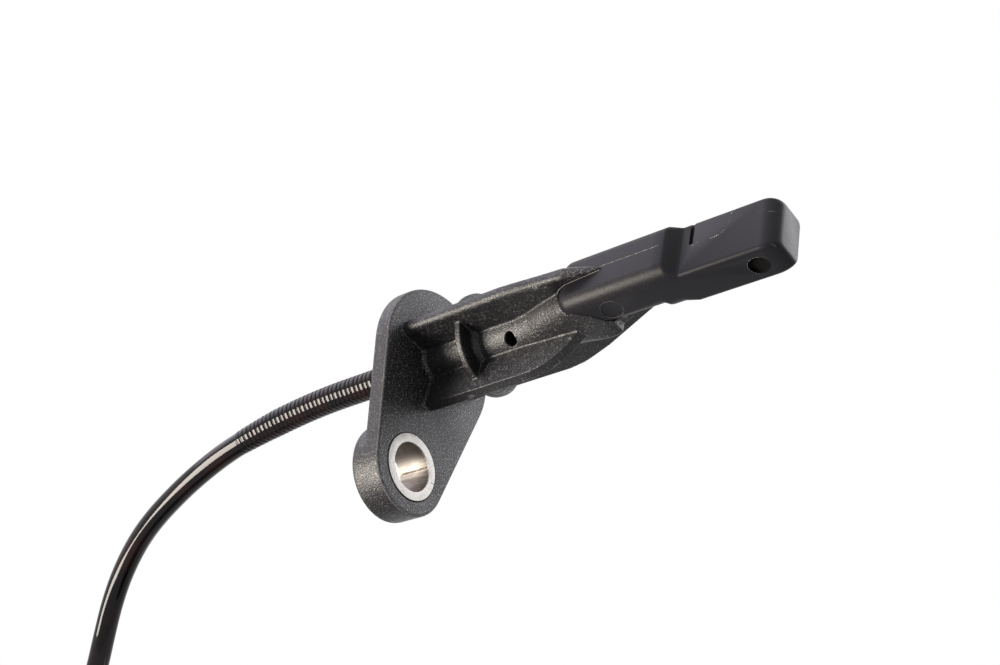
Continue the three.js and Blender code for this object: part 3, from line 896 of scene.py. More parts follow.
class Palette:
    """Every finish of the part, by name."""

    def __init__(self) -> None:
        """Builds the materials."""
        finishes = (
            GrainedPlastic(
                "overmould", dark=(0.006, 0.0058, 0.0068), pale=(0.29, 0.28, 0.29), grain=0.27,
                depth=0.13, roughness=0.39, specular=0.41, wear_and_highlight=0.42, edges=(0.56, 0.61),
            ),
            BarPlastic(
                "carrier_plastic", colour=(0.01, 0.0095, 0.0125), grain=(0.024, 0.022, 0.02),
                roughness=0.4, specular=0.18,
            ),
            SleeveMetal(
                "tinned_steel", rim=(0.34, 0.33, 0.315), bore=(0.21, 0.194, 0.176),
                bore_dark=(0.115, 0.1, 0.092),
            ),
            SmoothPlastic("chip_epoxy", (0.02, 0.02, 0.022), (0.06, 0.06, 0.06), 0.5),
            CableJacket("jacket", (0.004, 0.004, 0.005), (0.014, 0.006, 0.006)),
            GrainedPlastic(
                "plug_plastic", dark=(0.012, 0.012, 0.013), pale=(0.06, 0.06, 0.06), grain=0.25,
                depth=0.03, roughness=0.5, specular=0.35,
            ),
            SmoothPlastic("boot_rubber", (0.02, 0.02, 0.021), (0.06, 0.058, 0.055), 0.6),
            SmoothPlastic("lock_plastic", (0.7, 0.68, 0.6), (0.55, 0.52, 0.45), 0.45),
            RolledMetal("tinned_copper", (0.85, 0.82, 0.76), (0.75, 0.66, 0.55), 0.2),
            RolledMetal("copper", (0.75, 0.42, 0.26), (0.5, 0.27, 0.17), 0.3),
            SmoothPlastic("wire_white", (0.75, 0.75, 0.71), (0.6, 0.59, 0.54), 0.4),
            SmoothPlastic("wire_black", (0.02, 0.02, 0.02), (0.06, 0.06, 0.06), 0.4),
            SmoothPlastic("seal_rubber", (0.42, 0.1, 0.05), (0.5, 0.2, 0.12), 0.55),
            SmoothPlastic("flash", (0.32, 0.305, 0.29), (0.5, 0.48, 0.45), 0.6),
        )
        self.materials = {finish.name: finish.build() for finish in finishes}

    def dress(self, piece: bpy.types.Object, name: str, slot: str = "") -> None:
        """Gives a piece a finish.

        Args:
            piece: The piece.
            name: The finish.
            slot: The slot, if its name isn't the finish's. It is not used.
        """
        piece.data.materials.clear()
        piece.data.materials.append(self.materials[name])


# Studio


@dataclass
class Studio:
    """The camera at the photograph's viewing angle, the soft lamps and the pale floor."""

    camera_at: Point = (150.4, -135.1, -150.7)
    camera_right: Point = (0.78317, 0.59564, 0.17848)
    camera_up: Point = (0.27175, -0.58604, 0.76335)
    focal_pixels: float = 1462.98
    frame_pixels: int = 1000
    sensor_width: float = 36.0
    sight: tuple[float, float] = (5.0, 20000.0)
    lamp_aim: Point = (24.0, 0.0, -4.0)
    floor_level: float = -1700.0
    floor_size: float = 20000.0
    floor_shade: float = 0.85
    floor_roughness: float = 0.9
    floor_glow: float = 0.42
    world_light: float = 0.3
    lamps: Sequence[tuple[str, Point, float, tuple[float, float], float, Colour]] = (
        ("key", (-0.944, -0.119, 0.307), 705.0, (260.0, 460.0), 30.0, (1.0, 0.92, 0.82)),
        ("back", (-0.654, 0.644, -0.397), 620.0, (560.0, 560.0), 1.65, (0.87, 0.82, 1.0)),
        ("side", (0.876, 0.304, -0.375), 520.0, (430.0, 430.0), 3.5, (0.97, 0.96, 1.0)),
    )

    def place_camera(self) -> None:
        """Makes the camera and makes it the scene's own."""
        bpy.ops.object.camera_add()
        camera = bpy.context.active_object
        camera.name = "photo_camera"
        right = Vector(self.camera_right).normalized()
        back = right.cross(Vector(self.camera_up)).normalized()
        turn = Matrix((right, back.cross(right), back)).transposed()
        camera.matrix_world = Matrix.Translation(Vector(self.camera_at) * MM) @ turn.to_4x4()
        camera.data.sensor_width = self.sensor_width
        camera.data.lens = self.focal_pixels / self.frame_pixels * self.sensor_width
        camera.data.clip_start, camera.data.clip_end = (distance * MM for distance in self.sight)
        bpy.context.scene.camera = camera

    def lamp(
        self, name: str, way: Vector, distance: float, size: tuple[float, float], radiance: float,
        tint: Colour,
    ) -> None:
        """Adds a soft rectangular lamp that faces the part.

        Args:
            name: The lamp's name.
            way: The direction from the part to the lamp.
            distance: How far off it is, in millimetres.
            size: Its sides, the first along the part's axis, in millimetres.
            radiance: How bright it looks, where 1 is white.
            tint: Its colour.
        """
        along = Vector((1.0, 0.0, 0.0))
        across = (along - way * along.dot(way)).normalized()
        turn = Matrix((across, way.cross(across), way)).transposed()
        place = Vector(self.lamp_aim) + way * distance
        bpy.ops.object.light_add(type="AREA", location=place * MM)
        lamp = bpy.context.active_object
        lamp.name = name
        lamp.rotation_euler = turn.to_euler()
        lamp.data.shape = "RECTANGLE"
        lamp.data.size = size[0] * MM
        lamp.data.size_y = size[1] * MM
        lamp.data.energy = radiance * math.pi * size[0] * size[1] * MM ** 2
        lamp.data.color = tint

    def light(self) -> None:
        """Adds the lamps, placed by the camera's right, up and near directions."""
        up, right = Vector(self.camera_up).normalized(), Vector(self.camera_right).normalized()
        toward = right.cross(up)
        for name, (across, high, near), distance, size, radiance, tint in self.lamps:
            way = (right * across + up * high + toward * near).normalized()
            self.lamp(name, way, distance, size, radiance, tint)

    def world(self) -> None:
        """Adds the plain world, which is white to the eye and in mirrored and passed rays."""
        world = bpy.data.worlds.new("plain_white")
        bpy.context.scene.world = world
        world.use_nodes = True
        tree = world.node_tree
        ground = tree.nodes["Background"]
        rays = tree.nodes.new("ShaderNodeLightPath")
        seen = rays.outputs["Is Camera Ray"]
        for ray in ("Is Transmission Ray", "Is Glossy Ray"):
            either = tree.nodes.new("ShaderNodeMath")
            either.operation = "MAXIMUM"
            tree.links.new(seen, either.inputs[0])
            tree.links.new(rays.outputs[ray], either.inputs[1])
            seen = either.outputs[0]
        level = tree.nodes.new("ShaderNodeMix")
        level.inputs[2].default_value = self.world_light
        level.inputs[3].default_value = 1.0
        tree.links.new(seen, level.inputs[0])
        tree.links.new(level.outputs[0], ground.inputs["Strength"])
        ground.inputs["Color"].default_value = (1.0, 1.0, 1.0, 1.0)

    def floor(self) -> None:
        """Adds the plain pale floor, well below the part."""
        Bench.clear()
        place = (0.0, 0.0, self.floor_level * MM)
        bpy.ops.mesh.primitive_plane_add(size=self.floor_size * MM, location=place)
        floor = Bench.settle("floor")
        graph = Graph("floor_paint")
        seen = graph.add("ShaderNodeLightPath", {}, {}, "Is Camera Ray")
        for ray in ("Is Glossy Ray", "Is Transmission Ray"):
            seen = seen.high(graph.add("ShaderNodeLightPath", {}, {}, ray))
        graph.set(
            Base_Color=(self.floor_shade,) * 3, Roughness=self.floor_roughness,
            Emission_Color=graph.mix(seen, (0.0, 0.0, 0.0), (self.floor_glow,) * 3),
            Emission_Strength=1.0,
        )
        floor.data.materials.append(graph.material)

    def build(self) -> None:
        """Sets up the view, the light and the floor."""
        self.place_camera()
        self.light()
        self.world()
        self.floor()
        bpy.context.scene.view_settings.view_transform = "Standard"


# Cable


@dataclass
class CableRun:
    """The cable: its ribbed relief, the free stretch, the coil and the tail."""

    palette: Palette
    diameter: float = 4.3
    relief_diameter: float = 5.05
    relief_end_diameter: float = 4.48
    relief_taper: float = 9.0
    relief_clearance: float = 0.02
    seated_length: float = 5.2
    seated_inset: float = 0.05
    rib_pitch: float = 2.08
    rib_height: float = 0.17
    rib_slant: float = 0.3
    ribs: Sequence[tuple[float, float]] = ((0.26, 0.26), (0.74, 0.215))
    coil_turns: int = 4
    coil_radius: float = 23.65
    coil_pitch: float = 4.5
    coil_heading: float = 0.0
    coil_entry: Point = (-93.2, 17.6, -77.0)
    tail_drops: tuple[float, float] = (9.0, 18.0)
    tail_end: float = -104.0
    cable_start: Point = (-4.0, 0.0, 0.0)
    relief_points: Sequence[Point] = (
        (-1.5, 0.0, 0.0), (-7.2, 0.0, 0.0), (-12.8, 0.0, 0.0), (-18.5, 0.0, 0.0), (-24.2, 0.0, -0.04),
        (-29.8, 0.0, -0.34), (-35.5, 0.0, -0.98), (-41.1, 0.0, -1.91), (-46.6, 0.0, -3.16),
        (-48.0, 0.02, -3.54),
    )
    free_points: Sequence[Point] = (
        (-52.04, 0.14, -4.73), (-57.41, 0.63, -6.49), (-62.73, 1.43, -8.28), (-67.97, 2.51, -10.14),
        (-73.14, 3.84, -12.05), (-78.12, 5.52, -14.16), (-82.75, 7.56, -16.73), (-86.78, 9.76, -20.06),
        (-89.82, 11.98, -24.27), (-91.66, 13.98, -29.22), (-92.56, 15.52, -34.61),
        (-92.96, 16.5, -40.19), (-93.15, 17.07, -45.83), (-93.21, 17.38, -51.49),
        (-93.21, 17.55, -57.16), (-93.2, 17.6, -62.8),
    )
    turn_steps: int = 24
    cable_step: float = 1.6
    cable_sides: int = 24
    relief_step: float = 0.07
    relief_sides: int = 40

    def coil_points(self) -> list[Point]:
        """The points of the coil's turns, from its entry down and round.

        Returns:
            The points.
        """
        heading = math.radians(self.coil_heading)
        across = Vector((math.cos(heading), math.sin(heading), 0.0))
        axis = Vector((-math.sin(heading), math.cos(heading), 0.0))
        centre = Vector(self.coil_entry) + across * self.coil_radius
        points = []
        for k in range(self.coil_turns * self.turn_steps + 1):
            angle = 2 * math.pi * k / self.turn_steps
            out = -across * math.cos(angle) - Vector((0, 0, 1)) * math.sin(angle)
            shift = axis * (self.coil_pitch * k / self.turn_steps)
            points.append(tuple(centre + out * self.coil_radius + shift))
        return points

    def route(self) -> list[Point]:
        """The whole route of the cable, from inside the relief to inside the plug's boot.

        Returns:
            The route's points.
        """
        coil = self.coil_points()
        x, y, z = coil[-1]
        tail = [(x, y, z - drop) for drop in self.tail_drops]
        return [
            self.cable_start, *self.relief_points[1:-1], *self.free_points, *coil, *tail,
            (x, y, self.tail_end),
        ]

    def cable(self, path: Sequence[Vector]) -> bpy.types.Object:
        """The cable as one round tube.

        Args:
            path: The points along its middle.

        Returns:
            The cable.
        """
        rings = sweep_rings(path, self.cable_sides, lambda along, angle: self.diameter / 2)
        piece = Bench.skin("cable_jacket", rings)
        Bench.smooth(piece)
        self.palette.dress(piece, "jacket")
        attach(piece, "root")
        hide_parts("cable", "cable_coil", "cable_tail")
        return piece

    @staticmethod
    def bead(phase: float, place: float, reach: float) -> float:
        """The height of one broad ridge, from 0 to 1, at a phase of the pitch."""
        return max(0.0, 1 - abs((phase - place) / reach) ** 4.5)

    def ribbed_radius(self, along: float, angle: float, length: float) -> float:
        """The radius of the relief's outside, plain where it sits in the neck and ribbed after it.

        Args:
            along: The distance from its start.
            angle: The angle round it.
            length: Its whole length.

        Returns:
            The radius.
        """
        thin = max(0.0, 1 - (length - along) / self.relief_taper)
        plain = self.relief_diameter / 2 * (1 - thin) + self.relief_end_diameter / 2 * thin
        if along < self.seated_length:
            return plain - self.seated_inset
        phase = (along - self.rib_slant * math.cos(angle)) / self.rib_pitch % 1.0
        bead = max(self.bead(phase, place, reach) for place, reach in self.ribs)
        return plain - self.rib_height * (1 - bead)

    def relief(self) -> bpy.types.Object:
        """The ribbed sleeve, with slanted ridges in pairs.

        Returns:
            The sleeve.
        """
        path = smooth_path(self.relief_points, self.relief_step)
        length = self.relief_step * (len(path) - 1)
        hole = self.diameter / 2 + self.relief_clearance
        outer = sweep_rings(
            path, self.relief_sides, lambda along, angle: self.ribbed_radius(along, angle, length),
        )
        inner = sweep_rings(path, self.relief_sides, lambda along, angle: hole)
        piece = Bench.skin("relief_sleeve", [*outer, *reversed(inner)], capped=False)
        Bench.smooth(piece, 60)
        self.palette.dress(piece, "jacket")
        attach(piece, "root")
        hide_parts("bend_relief")
        return piece

    def build(self, nodes: dict[str, bpy.types.Object]) -> None:
        """Args:
            nodes: The CAD nodes by name, which are not used.
        """
        route = smooth_path(self.route(), self.cable_step)
        cable = self.cable(route)
        relief = self.relief()
        path = [p * MM for p in route]
        length = sum((b - a).length for a, b in zip(path, path[1:]))
        LOG.info("cable: %.3f m", length)


# Overmoulded body


@dataclass
class Overmould:
    """The eared flange and the finned body, moulded as one over the sensing bar's root."""

    palette: Palette
    thickness: float = 3.1
    head_radius: float = 13.1
    eye_radius: float = 8.25
    eye_drop: float = 22.1
    plate_round: float = 0.4
    boss_depth: float = 5.85
    boss_round: float = 0.7
    bore_radius: float = 5.77
    core_radius: float = 4.3
    core_end: float = 20.1
    core_foot: tuple[float, float] = (5.2, 4.3)
    neck_end: float = -6.5
    neck_radii: tuple[float, float] = (3.9, 4.35)
    relief_seat: float = 2.7
    relief_seat_end: float = -1.2
    wire_bore: float = 2.5
    fin_radius: float = 10.25
    fin_thickness: float = 1.9
    disc_place: float = 10.0
    disc_thickness: float = 1.1
    disc_radius: float = 9.0
    gate_radius: float = 7.95
    disc_foot: tuple[float, float] = (5.1, 4.2)
    pin_place: float = 18.2
    pin_radius: float = 1.0
    pin_point: float = 0.7
    pin_turn: float = 146.0
    web_root: float = 0.72
    bar_clearance: float = 0.02
    voxel: float = 0.15
    rounding: int = 5
    most_faces: int = 190000

    def plate(self) -> bpy.types.Object:
        """The flange: a round head and a smaller eye, joined by their tangents.

        Returns:
            The plate.
        """
        lean = math.degrees(math.asin((self.head_radius - self.eye_radius) / self.eye_drop))
        outline = [
            *arc((0.0, 0.0), self.head_radius, (-lean, 180 + lean), 56),
            *arc((0.0, -self.eye_drop), self.eye_radius, (180 + lean, 360 - lean), 40),
        ]
        corners = [Vector((-self.thickness, y, z)) for y, z in outline]
        plate = Bench.prism("plate", corners, Vector((self.thickness, 0.0, 0.0)))
        return Bench.ease(plate, self.plate_round, 3, 50)

    def boss(self) -> bpy.types.Object:
        """The thicker ring behind the eye.

        Returns:
            The boss.
        """
        boss = Bench.rod(
            "boss", Axis.X, (-self.boss_depth, -1.0), (0.0, -self.eye_drop),
            (self.eye_radius, self.eye_radius), 72,
        )
        return Bench.ease(boss, self.boss_round, 3, 50)

    def fin(self, name: str, outline: Sequence[tuple[float, float]], out: Vector) -> bpy.types.Object:
        """A flat fin.

        Args:
            name: The fin's name.
            outline: Its corners as distances along and from the axis.
            out: The direction that it stands out in.

        Returns:
            The fin.
        """
        side = Vector((1.0, 0.0, 0.0)).cross(out)
        half = self.fin_thickness / 2
        corners = [Vector((x, 0.0, 0.0)) + out * r - side * half for x, r in outline]
        return Bench.prism(name, corners, side * self.fin_thickness)

    def fins(self) -> list[bpy.types.Object]:
        """The four fins: the bow and keel fins with their own outlines, the other two alike.

        Returns:
            The fins.
        """
        r = self.fin_radius
        keel = [
            (-1.0, 1.3), (-1.0, r), (21.0, r), (24.0, 9.85), (26.0, 9.3), (30.5, 7.8), (40.8, 3.5),
            (44.5, 2.0), (46.0, 1.0), (46.0, 0.4), (30.0, 0.4),
        ]
        cross = [
            (-1.0, 3.0), (-1.0, r), (20.0, r), (22.0, 10.15), (24.0, 9.8), (25.6, 9.3), (27.0, 8.6),
            (28.3, 7.7), (29.4, 6.7), (30.4, 5.6), (31.2, 4.6), (31.6, 3.6), (31.6, 3.0),
        ]
        return [
            self.bow_fin(),
            self.fin("keel_fin", keel, Vector((0.0, 1.0, 0.0))),
            self.fin("top_fin", cross, Vector((0.0, 0.0, 1.0))),
            self.fin("bottom_fin", cross, Vector((0.0, 0.0, -1.0))),
        ]

    def bow_fin(self) -> bpy.types.Object:
        """The fin toward -Y, whose crest narrows to a tongue over the bar.

        A station holds X, the crest's height, the spans of the crest and the foot across the fin,
        and the round of the crest's lower edge.

        Returns:
            The fin.
        """
        r, half = self.fin_radius, self.fin_thickness / 2
        whole = (-half, half)
        stations = (
            (-1.0, r, whole, whole, 1.05), (14.0, r, whole, whole, 1.1), (21.0, r, whole, whole, 1.15),
            (24.0, 10.05, whole, whole, 1.15), (27.0, 9.8, whole, whole, 1.1),
            (28.4, 9.72, whole, whole, 1.05), (29.5, 9.62, whole, (-0.85, 1.9), 0.95),
            (30.5, 9.57, whole, (-0.45, 3.0), 0.9), (31.4, 9.52, whole, (-0.1, 3.35), 0.8),
            (32.6, 9.42, (-0.93, 0.95), (0.0, 3.15), 0.8), (34.0, 8.85, (-0.62, 0.96), (0.1, 2.8), 0.65),
            (35.5, 8.25, (-0.15, 0.97), (0.25, 2.3), 0.5), (37.0, 7.62, (0.25, 0.98), (0.38, 1.7), 0.3),
            (38.2, 7.15, (0.55, 0.98), (0.5, 1.25), 0.15), (38.9, 6.93, (0.72, 0.95), (0.7, 1.0), 0.08),
        )
        rings = []
        for x, crest, (low, high), (foot_low, foot_high), corner in stations:
            root, foot = (3.0, 5.0) if x < 28.5 else (5.6, 6.9)
            waist = (crest + foot) / 2
            section = [
                (root, foot_high), (foot, foot_high), (waist, (high + foot_high) / 2),
                (crest - 0.1, high), (crest, high - 0.1),
                *reversed(arc((crest - corner, low + corner), corner, (-90, 0), 5)),
                (waist, (low + foot_low) / 2), (foot, foot_low), (root, foot_low),
            ]
            rings.append([Vector((x, -out, z)) for out, z in section])
        return Bench.skin("bow_fin", rings)

    def mouth(self) -> bpy.types.Object:
        """The core's mouth, which turns from a circle into the bar's rounded section.

        A station holds X, the spans in Y and Z, and the round of the corners.

        Returns:
            The mouth.
        """
        stations = (
            (19.9, (-4.3, 4.3), (-4.3, 4.3), 4.29), (22.5, (-4.75, 4.35), (-4.38, 4.4), 4.3),
            (25.0, (-5.4, 4.3), (-4.45, 4.6), 4.1), (27.5, (-5.9, 4.1), (-4.55, 4.95), 3.7),
            (29.5, (-6.25, 3.9), (-4.68, 5.3), 3.2), (31.0, (-6.3, 3.6), (-4.85, 5.5), 2.6),
            (32.2, (-5.6, 3.3), (-4.95, 5.6), 1.9), (33.4, (-4.3, 3.1), (-4.95, 5.7), 1.2),
            (34.8, (-2.9, 3.0), (-4.9, 5.75), 0.7), (36.0, (-1.4, 2.9), (-4.8, 5.6), 0.5),
            (37.0, (0.0, 2.8), (-4.3, 5.2), 0.4),
        )
        rings = [rounded_ring(x, ys, zs, corner, 10) for x, ys, zs, corner in stations]
        return Bench.skin("mouth", rings)

    def cradle(self) -> bpy.types.Object:
        """The pad that carries the front of the bar, on a web that spreads to both sides.

        A station holds X, the pad's front, the lowest and highest Z of the pad, and those of its
        feet.

        Returns:
            The cradle.
        """
        stations = (
            (28.0, 3.2, -2.45, 3.65, -4.1, 5.2), (31.0, 2.98, -2.62, 3.82, -4.25, 5.4),
            (34.0, 2.85, -2.66, 3.86, -4.15, 5.3), (36.5, 2.75, -2.62, 3.82, -3.8, 4.95),
            (38.2, 2.6, -2.42, 3.62, -3.3, 4.4), (39.1, 2.2, -1.95, 3.15, -2.6, 3.7),
            (39.5, 1.7, -1.4, 2.6, -1.9, 3.0),
        )
        flare = ((0.22, 0.42), (0.5, 0.14), (0.8, 0.0))
        root = self.web_root
        rings = []
        for x, front, low, high, foot_low, foot_high in stations:
            web = []
            for edge, foot in ((low, foot_low), (high, foot_high)):
                out = foot - edge
                web.append([
                    Vector((x, -0.8, foot)), Vector((x, root, foot)),
                    *(Vector((x, root + up * (front - root), edge + off * out)) for up, off in flare),
                    Vector((x, front - 0.1, edge)),
                    Vector((x, front, edge - 0.12 * math.copysign(1, out))),
                ])
            rings.append([*web[0], *reversed(web[1])])
        return Bench.skin("cradle", rings)

    def disc(self) -> list[bpy.types.Object]:
        """The disc that ties the fins together, smaller in the quarter next to the gate.

        Returns:
            The large part, the small disc and the flare at the disc's foot.
        """
        span = (self.disc_place, self.disc_place + self.disc_thickness)
        full = Bench.rod("disc", Axis.X, span, (0.0, 0.0), (self.disc_radius,) * 2, 96)
        quarter = Bench.block("quarter", (span[0] - 1, -12.0, -12.0), (span[1] + 1, 0.0, 0.0))
        Bench.act(full, Join.DIFFERENCE, [quarter])
        small = Bench.rod("gate_disc", Axis.X, span, (0.0, 0.0), (self.gate_radius,) * 2, 96)
        flare = (span[1] - 0.1, span[1] + 0.9)
        foot = Bench.rod("disc_foot", Axis.X, flare, (0.0, 0.0), self.disc_foot)
        return [full, small, foot]

    def pin_hole(self) -> bpy.types.Object:
        """The teardrop hole of a mould pin, with its point away from the ear.

        Returns:
            The solid that cuts it.
        """
        radius, start = self.pin_radius, 0.2 * MM
        hole = Bench.rod("pin_hole", Axis.Z, (2.3, 8.0), (0.0, 0.0), (radius, radius), 24)
        for vertex in hole.data.vertices:
            if vertex.co.y > start:
                vertex.co.y += (vertex.co.y - start) * self.pin_point
        turn = Matrix.Rotation(math.radians(self.pin_turn), 4, "X")
        hole.data.transform(Matrix.Translation((self.pin_place * MM, 0.0, 0.0)) @ turn)
        return hole

    def build(self) -> bpy.types.Object:
        """Joins the solids, cuts the seats and moulds the skin.

        Returns:
            The body.
        """
        body = self.plate()
        axis = (0.0, 0.0)
        core_span = (-self.thickness, self.core_end)
        core = Bench.rod("core", Axis.X, core_span, axis, (self.core_radius,) * 2)
        foot = Bench.rod("core_foot", Axis.X, (-1.0, 0.7), axis, self.core_foot)
        neck = Bench.rod("neck", Axis.X, (self.neck_end, -2.0), axis, self.neck_radii)
        parts = [self.boss(), core, self.mouth(), foot, neck, *self.fins(), *self.disc()]
        Bench.act(body, Join.UNION, [*parts, self.cradle()])
        eye_place = (0.0, -self.eye_drop)
        eye = Bench.rod("eye", Axis.X, (-8.0, 2.0), eye_place, (self.bore_radius,) * 2, 96)
        seat_span = (-8.0, self.relief_seat_end)
        seat = Bench.rod("relief_seat", Axis.X, seat_span, axis, (self.relief_seat,) * 2)
        wire_bore = Bench.rod("wire_bore", Axis.X, (-1.5, 24.0), axis, (self.wire_bore,) * 2)
        cavity = SensingBar(self.palette).solid(self.bar_clearance)
        Bench.act(body, Join.DIFFERENCE, [eye, seat, wire_bore, self.pin_hole(), cavity])
        Bench.mould(body, self.voxel, self.rounding, self.most_faces)
        body.name = "body_skin"
        self.palette.dress(body, "overmould")
        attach(body, "root")
        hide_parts("flange_body")
        return body


# Sensing bar


@dataclass
class SensingBar:
    """The smooth bar with a thick root, a ramp and a thinner tip.

    Its back is its broad -Y side, and its front is its +Y side.
    """

    palette: Palette
    rise: float = 0.6
    half_width: float = 5.2
    back: float = -6.9
    front: float = 0.7
    tip_back: float = -4.9
    tip_front: float = 1.6
    start: float = 29.4
    nose: float = 2.6
    ramp_start: float = 49.6
    ramp_end: float = 51.9
    end: float = 68.2
    end_taper: float = 3.0
    end_insets: tuple[float, float, float] = (2.0, 0.25, 1.35)
    root_corner: float = 2.2
    tip_corner: float = 0.75
    tail_start: float = 24.0
    tail_radius: float = 3.2
    chip_room: tuple[Point, Point] = ((32.0, -2.3, -2.1), (66.4, -0.3, 2.1))
    lead_room: tuple[Point, Point] = ((23.0, -1.0, -2.1), (34.0, 1.0, 2.1))
    tip_pin: tuple[float, float] = (63.7, -1.6)
    tip_pin_radius: float = 1.72
    tip_pin_depth: float = 0.6
    root_pin: tuple[float, float] = (38.5, -2.75)
    root_pin_radius: float = 1.83
    root_pin_depth: float = 0.12
    pin_gap: float = 0.04
    slot_span: tuple[float, float] = (53.05, 53.75)
    slot_start: float = 1.15
    slot_depth: float = 0.5

    def stations(self) -> list[tuple[float, float, float, float, float]]:
        """The sections of the bar, from its nose to its end.

        Returns:
            X, back, front, inset of the sides and corner radius of each.
        """
        rows: list[tuple[float, float, float, float, float]] = []
        for k in range(7):
            share = k / 6
            inset = self.nose * (1 - math.sqrt(1 - (1 - share) ** 2))
            rows.append((
                self.start + self.nose * share, self.back + inset, self.front - inset * 0.5, inset,
                self.root_corner,
            ))
        for x, lift in ((46.3, 0.0), (46.6, 0.1), (46.9, 0.5), (47.2, 0.9), (47.6, 1.0)):
            front = self.front + lift * (self.tip_front - self.front)
            rows.append((x, self.back, front, 0.0, self.root_corner))
        steps = 8
        for k in range(steps + 1):
            share = k / steps
            x = self.ramp_start + (self.ramp_end - self.ramp_start) * share
            fall = min(1.0, max(0.0, (share - 0.06) / 0.88))
            soft = 0.75 * fall + 0.25 * (3 * fall ** 2 - 2 * fall ** 3)
            back = self.back + (self.tip_back - self.back) * soft
            corner = self.root_corner + (self.tip_corner - self.root_corner) * share
            rows.append((x, back, self.tip_front, 0.0, corner))
        round_steps = 9
        for k in range(round_steps + 1):
            angle = math.pi / 2 * k / round_steps
            back, front, side = (inset * (1 - math.cos(angle)) for inset in self.end_insets)
            x = self.end - self.end_taper * (1 - math.sin(angle))
            rows.append((x, self.tip_back + back, self.tip_front - front, side, self.tip_corner))
        return rows

    def solid(self, grow: float = 0.0) -> bpy.types.Object:
        """The bar as one solid with its tail, which may be grown to give its seat.

        Args:
            grow: How far each side is moved out, in millimetres.

        Returns:
            The solid.
        """
        rings = [
            rounded_ring(
                x, (back - grow, front + grow),
                (self.rise - self.half_width + inset - grow, self.rise + self.half_width - inset + grow),
                corner + grow, 8,
            )
            for x, back, front, inset, corner in self.stations()
        ]
        bar = Bench.skin("bar", rings)
        tail_span, tail_radius = (self.tail_start - grow, 32.0), self.tail_radius + grow
        tail = Bench.rod("tail", Axis.X, tail_span, (0.0, 0.0), (tail_radius, tail_radius))
        return Bench.act(bar, Join.UNION, [tail])

    def pin_mark(
        self, name: str, at: tuple[float, float], radius: float, depth: float,
    ) -> bpy.types.Object:
        """The solid that cuts the round mark of a mould pin in the bar's lower side.

        Args:
            name: The solid's name.
            at: Its place in X and Y.
            radius: Its radius.
            depth: How deep the mark is.

        Returns:
            The solid.
        """
        low = self.rise - self.half_width
        return Bench.rod(name, Axis.Z, (low - 0.4, low + depth), at, (radius, radius), 48)

    def build(self) -> bpy.types.Object:
        """Cuts the marks in the bar and finishes its edges.

        Returns:
            The bar.
        """
        bar = self.solid()
        slot_low = (self.slot_span[0], self.tip_back - 1.0, self.slot_start)
        slot_high = (self.slot_span[1], self.tip_back + self.slot_depth, 7.0)
        cuts = [
            Bench.block("chip_room", *self.chip_room),
            Bench.block("lead_room", *self.lead_room),
            self.pin_mark("tip_mark", self.tip_pin, self.tip_pin_radius, self.tip_pin_depth),
            self.pin_mark("root_mark", self.root_pin, self.root_pin_radius, self.root_pin_depth),
            Bench.block("slot", slot_low, slot_high),
        ]
        Bench.act(bar, Join.DIFFERENCE, cuts)
        Bench.ease(bar, 0.07, 2, 48)
        Bench.modify(bar, "WEIGHTED_NORMAL", keep_sharp=True, weight=100)
        Bench.smooth(bar, 32)
        bar.name = "bar_skin"
        self.palette.dress(bar, "carrier_plastic")
        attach(bar, "root")
        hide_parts("sensor_carrier")
        self.flash()
        return bar

    def flash(self) -> bpy.types.Object:
        """The crumbs and thin threads of flash on the parting line and round the pins' marks.

        A thread holds its points, its radius and its beat. The beat breaks it into crumbs, and a beat of
        0 leaves it whole. The half ring round the tip's mark is partly flash and partly a painted
        highlight on the half of its rim that catches the light.

        Returns:
            The threads as one piece.
        """
        back, tip, low = self.back - 0.01, self.tip_back - 0.01, self.rise - self.half_width - 0.01
        # Partly painted highlight: this thread runs only along the half of the tip mark's rim that
        # catches the light.
        tip_ring = arc(self.tip_pin, self.tip_pin_radius + self.pin_gap, (120, 300), 24)
        root_ring = arc(self.root_pin, self.root_pin_radius + self.pin_gap, (0, 360), 40)
        threads = (
            ([(37.6, back, 1.15), (40.4, back, 1.12), (44.0, back, 1.1), (48.9, back, 1.12)], 0.062, 6.0),
            ([(56.8, tip, 0.95), (57.6, tip, 1.0), (58.4, tip, 1.15)], 0.09, 7.0),
            ([(58.4, tip, 1.15), (59.4, tip, 2.0), (59.9, tip, 3.2), (60.2, tip, 4.4)], 0.035, 1.0),
            ([(60.1, tip, 4.5), (60.35, tip, 4.95), (60.9, tip, 5.25)], 0.1, 3.0),
            ([(53.6, tip, 0.75), (54.2, tip, 0.85), (54.9, tip, 1.4)], 0.05, 3.0),
            ([(x, y, low) for x, y in tip_ring], 0.009, 0.0),
            ([(x, y, low) for x, y in root_ring], 0.01, 0.0),
            (
                [
                    (29.9, -6.4, -0.9), (30.6, -6.78, -0.6), (31.4, back, -0.25), (32.6, back, -0.08),
                    (34.0, back, 0.02), (35.5, back, 0.16), (37.0, back, 0.3), (38.2, back, 0.42),
                ],
                0.032, 0.0,
            ),
        )
        pieces = []
        for points, radius, beat in threads:
            rings = sweep_rings(
                smooth_path(points, 0.08), 6,
                lambda along, angle, r=radius, b=beat: r * self.crumb(b * along) if b else r,
            )
            pieces.append(Bench.skin("thread", rings))
        piece = Bench.merge("parting_flash", pieces)
        self.palette.dress(piece, "flash", "carrier_plastic")
        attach(piece, "root")
        return piece

    @staticmethod
    def crumb(phase: float) -> float:
        """The share of a thread's radius at a phase of its uneven beat."""
        return 0.2 + 0.8 * max(0.0, math.sin(phase) * math.sin(1.7 * phase + 1.0))


# Bushing


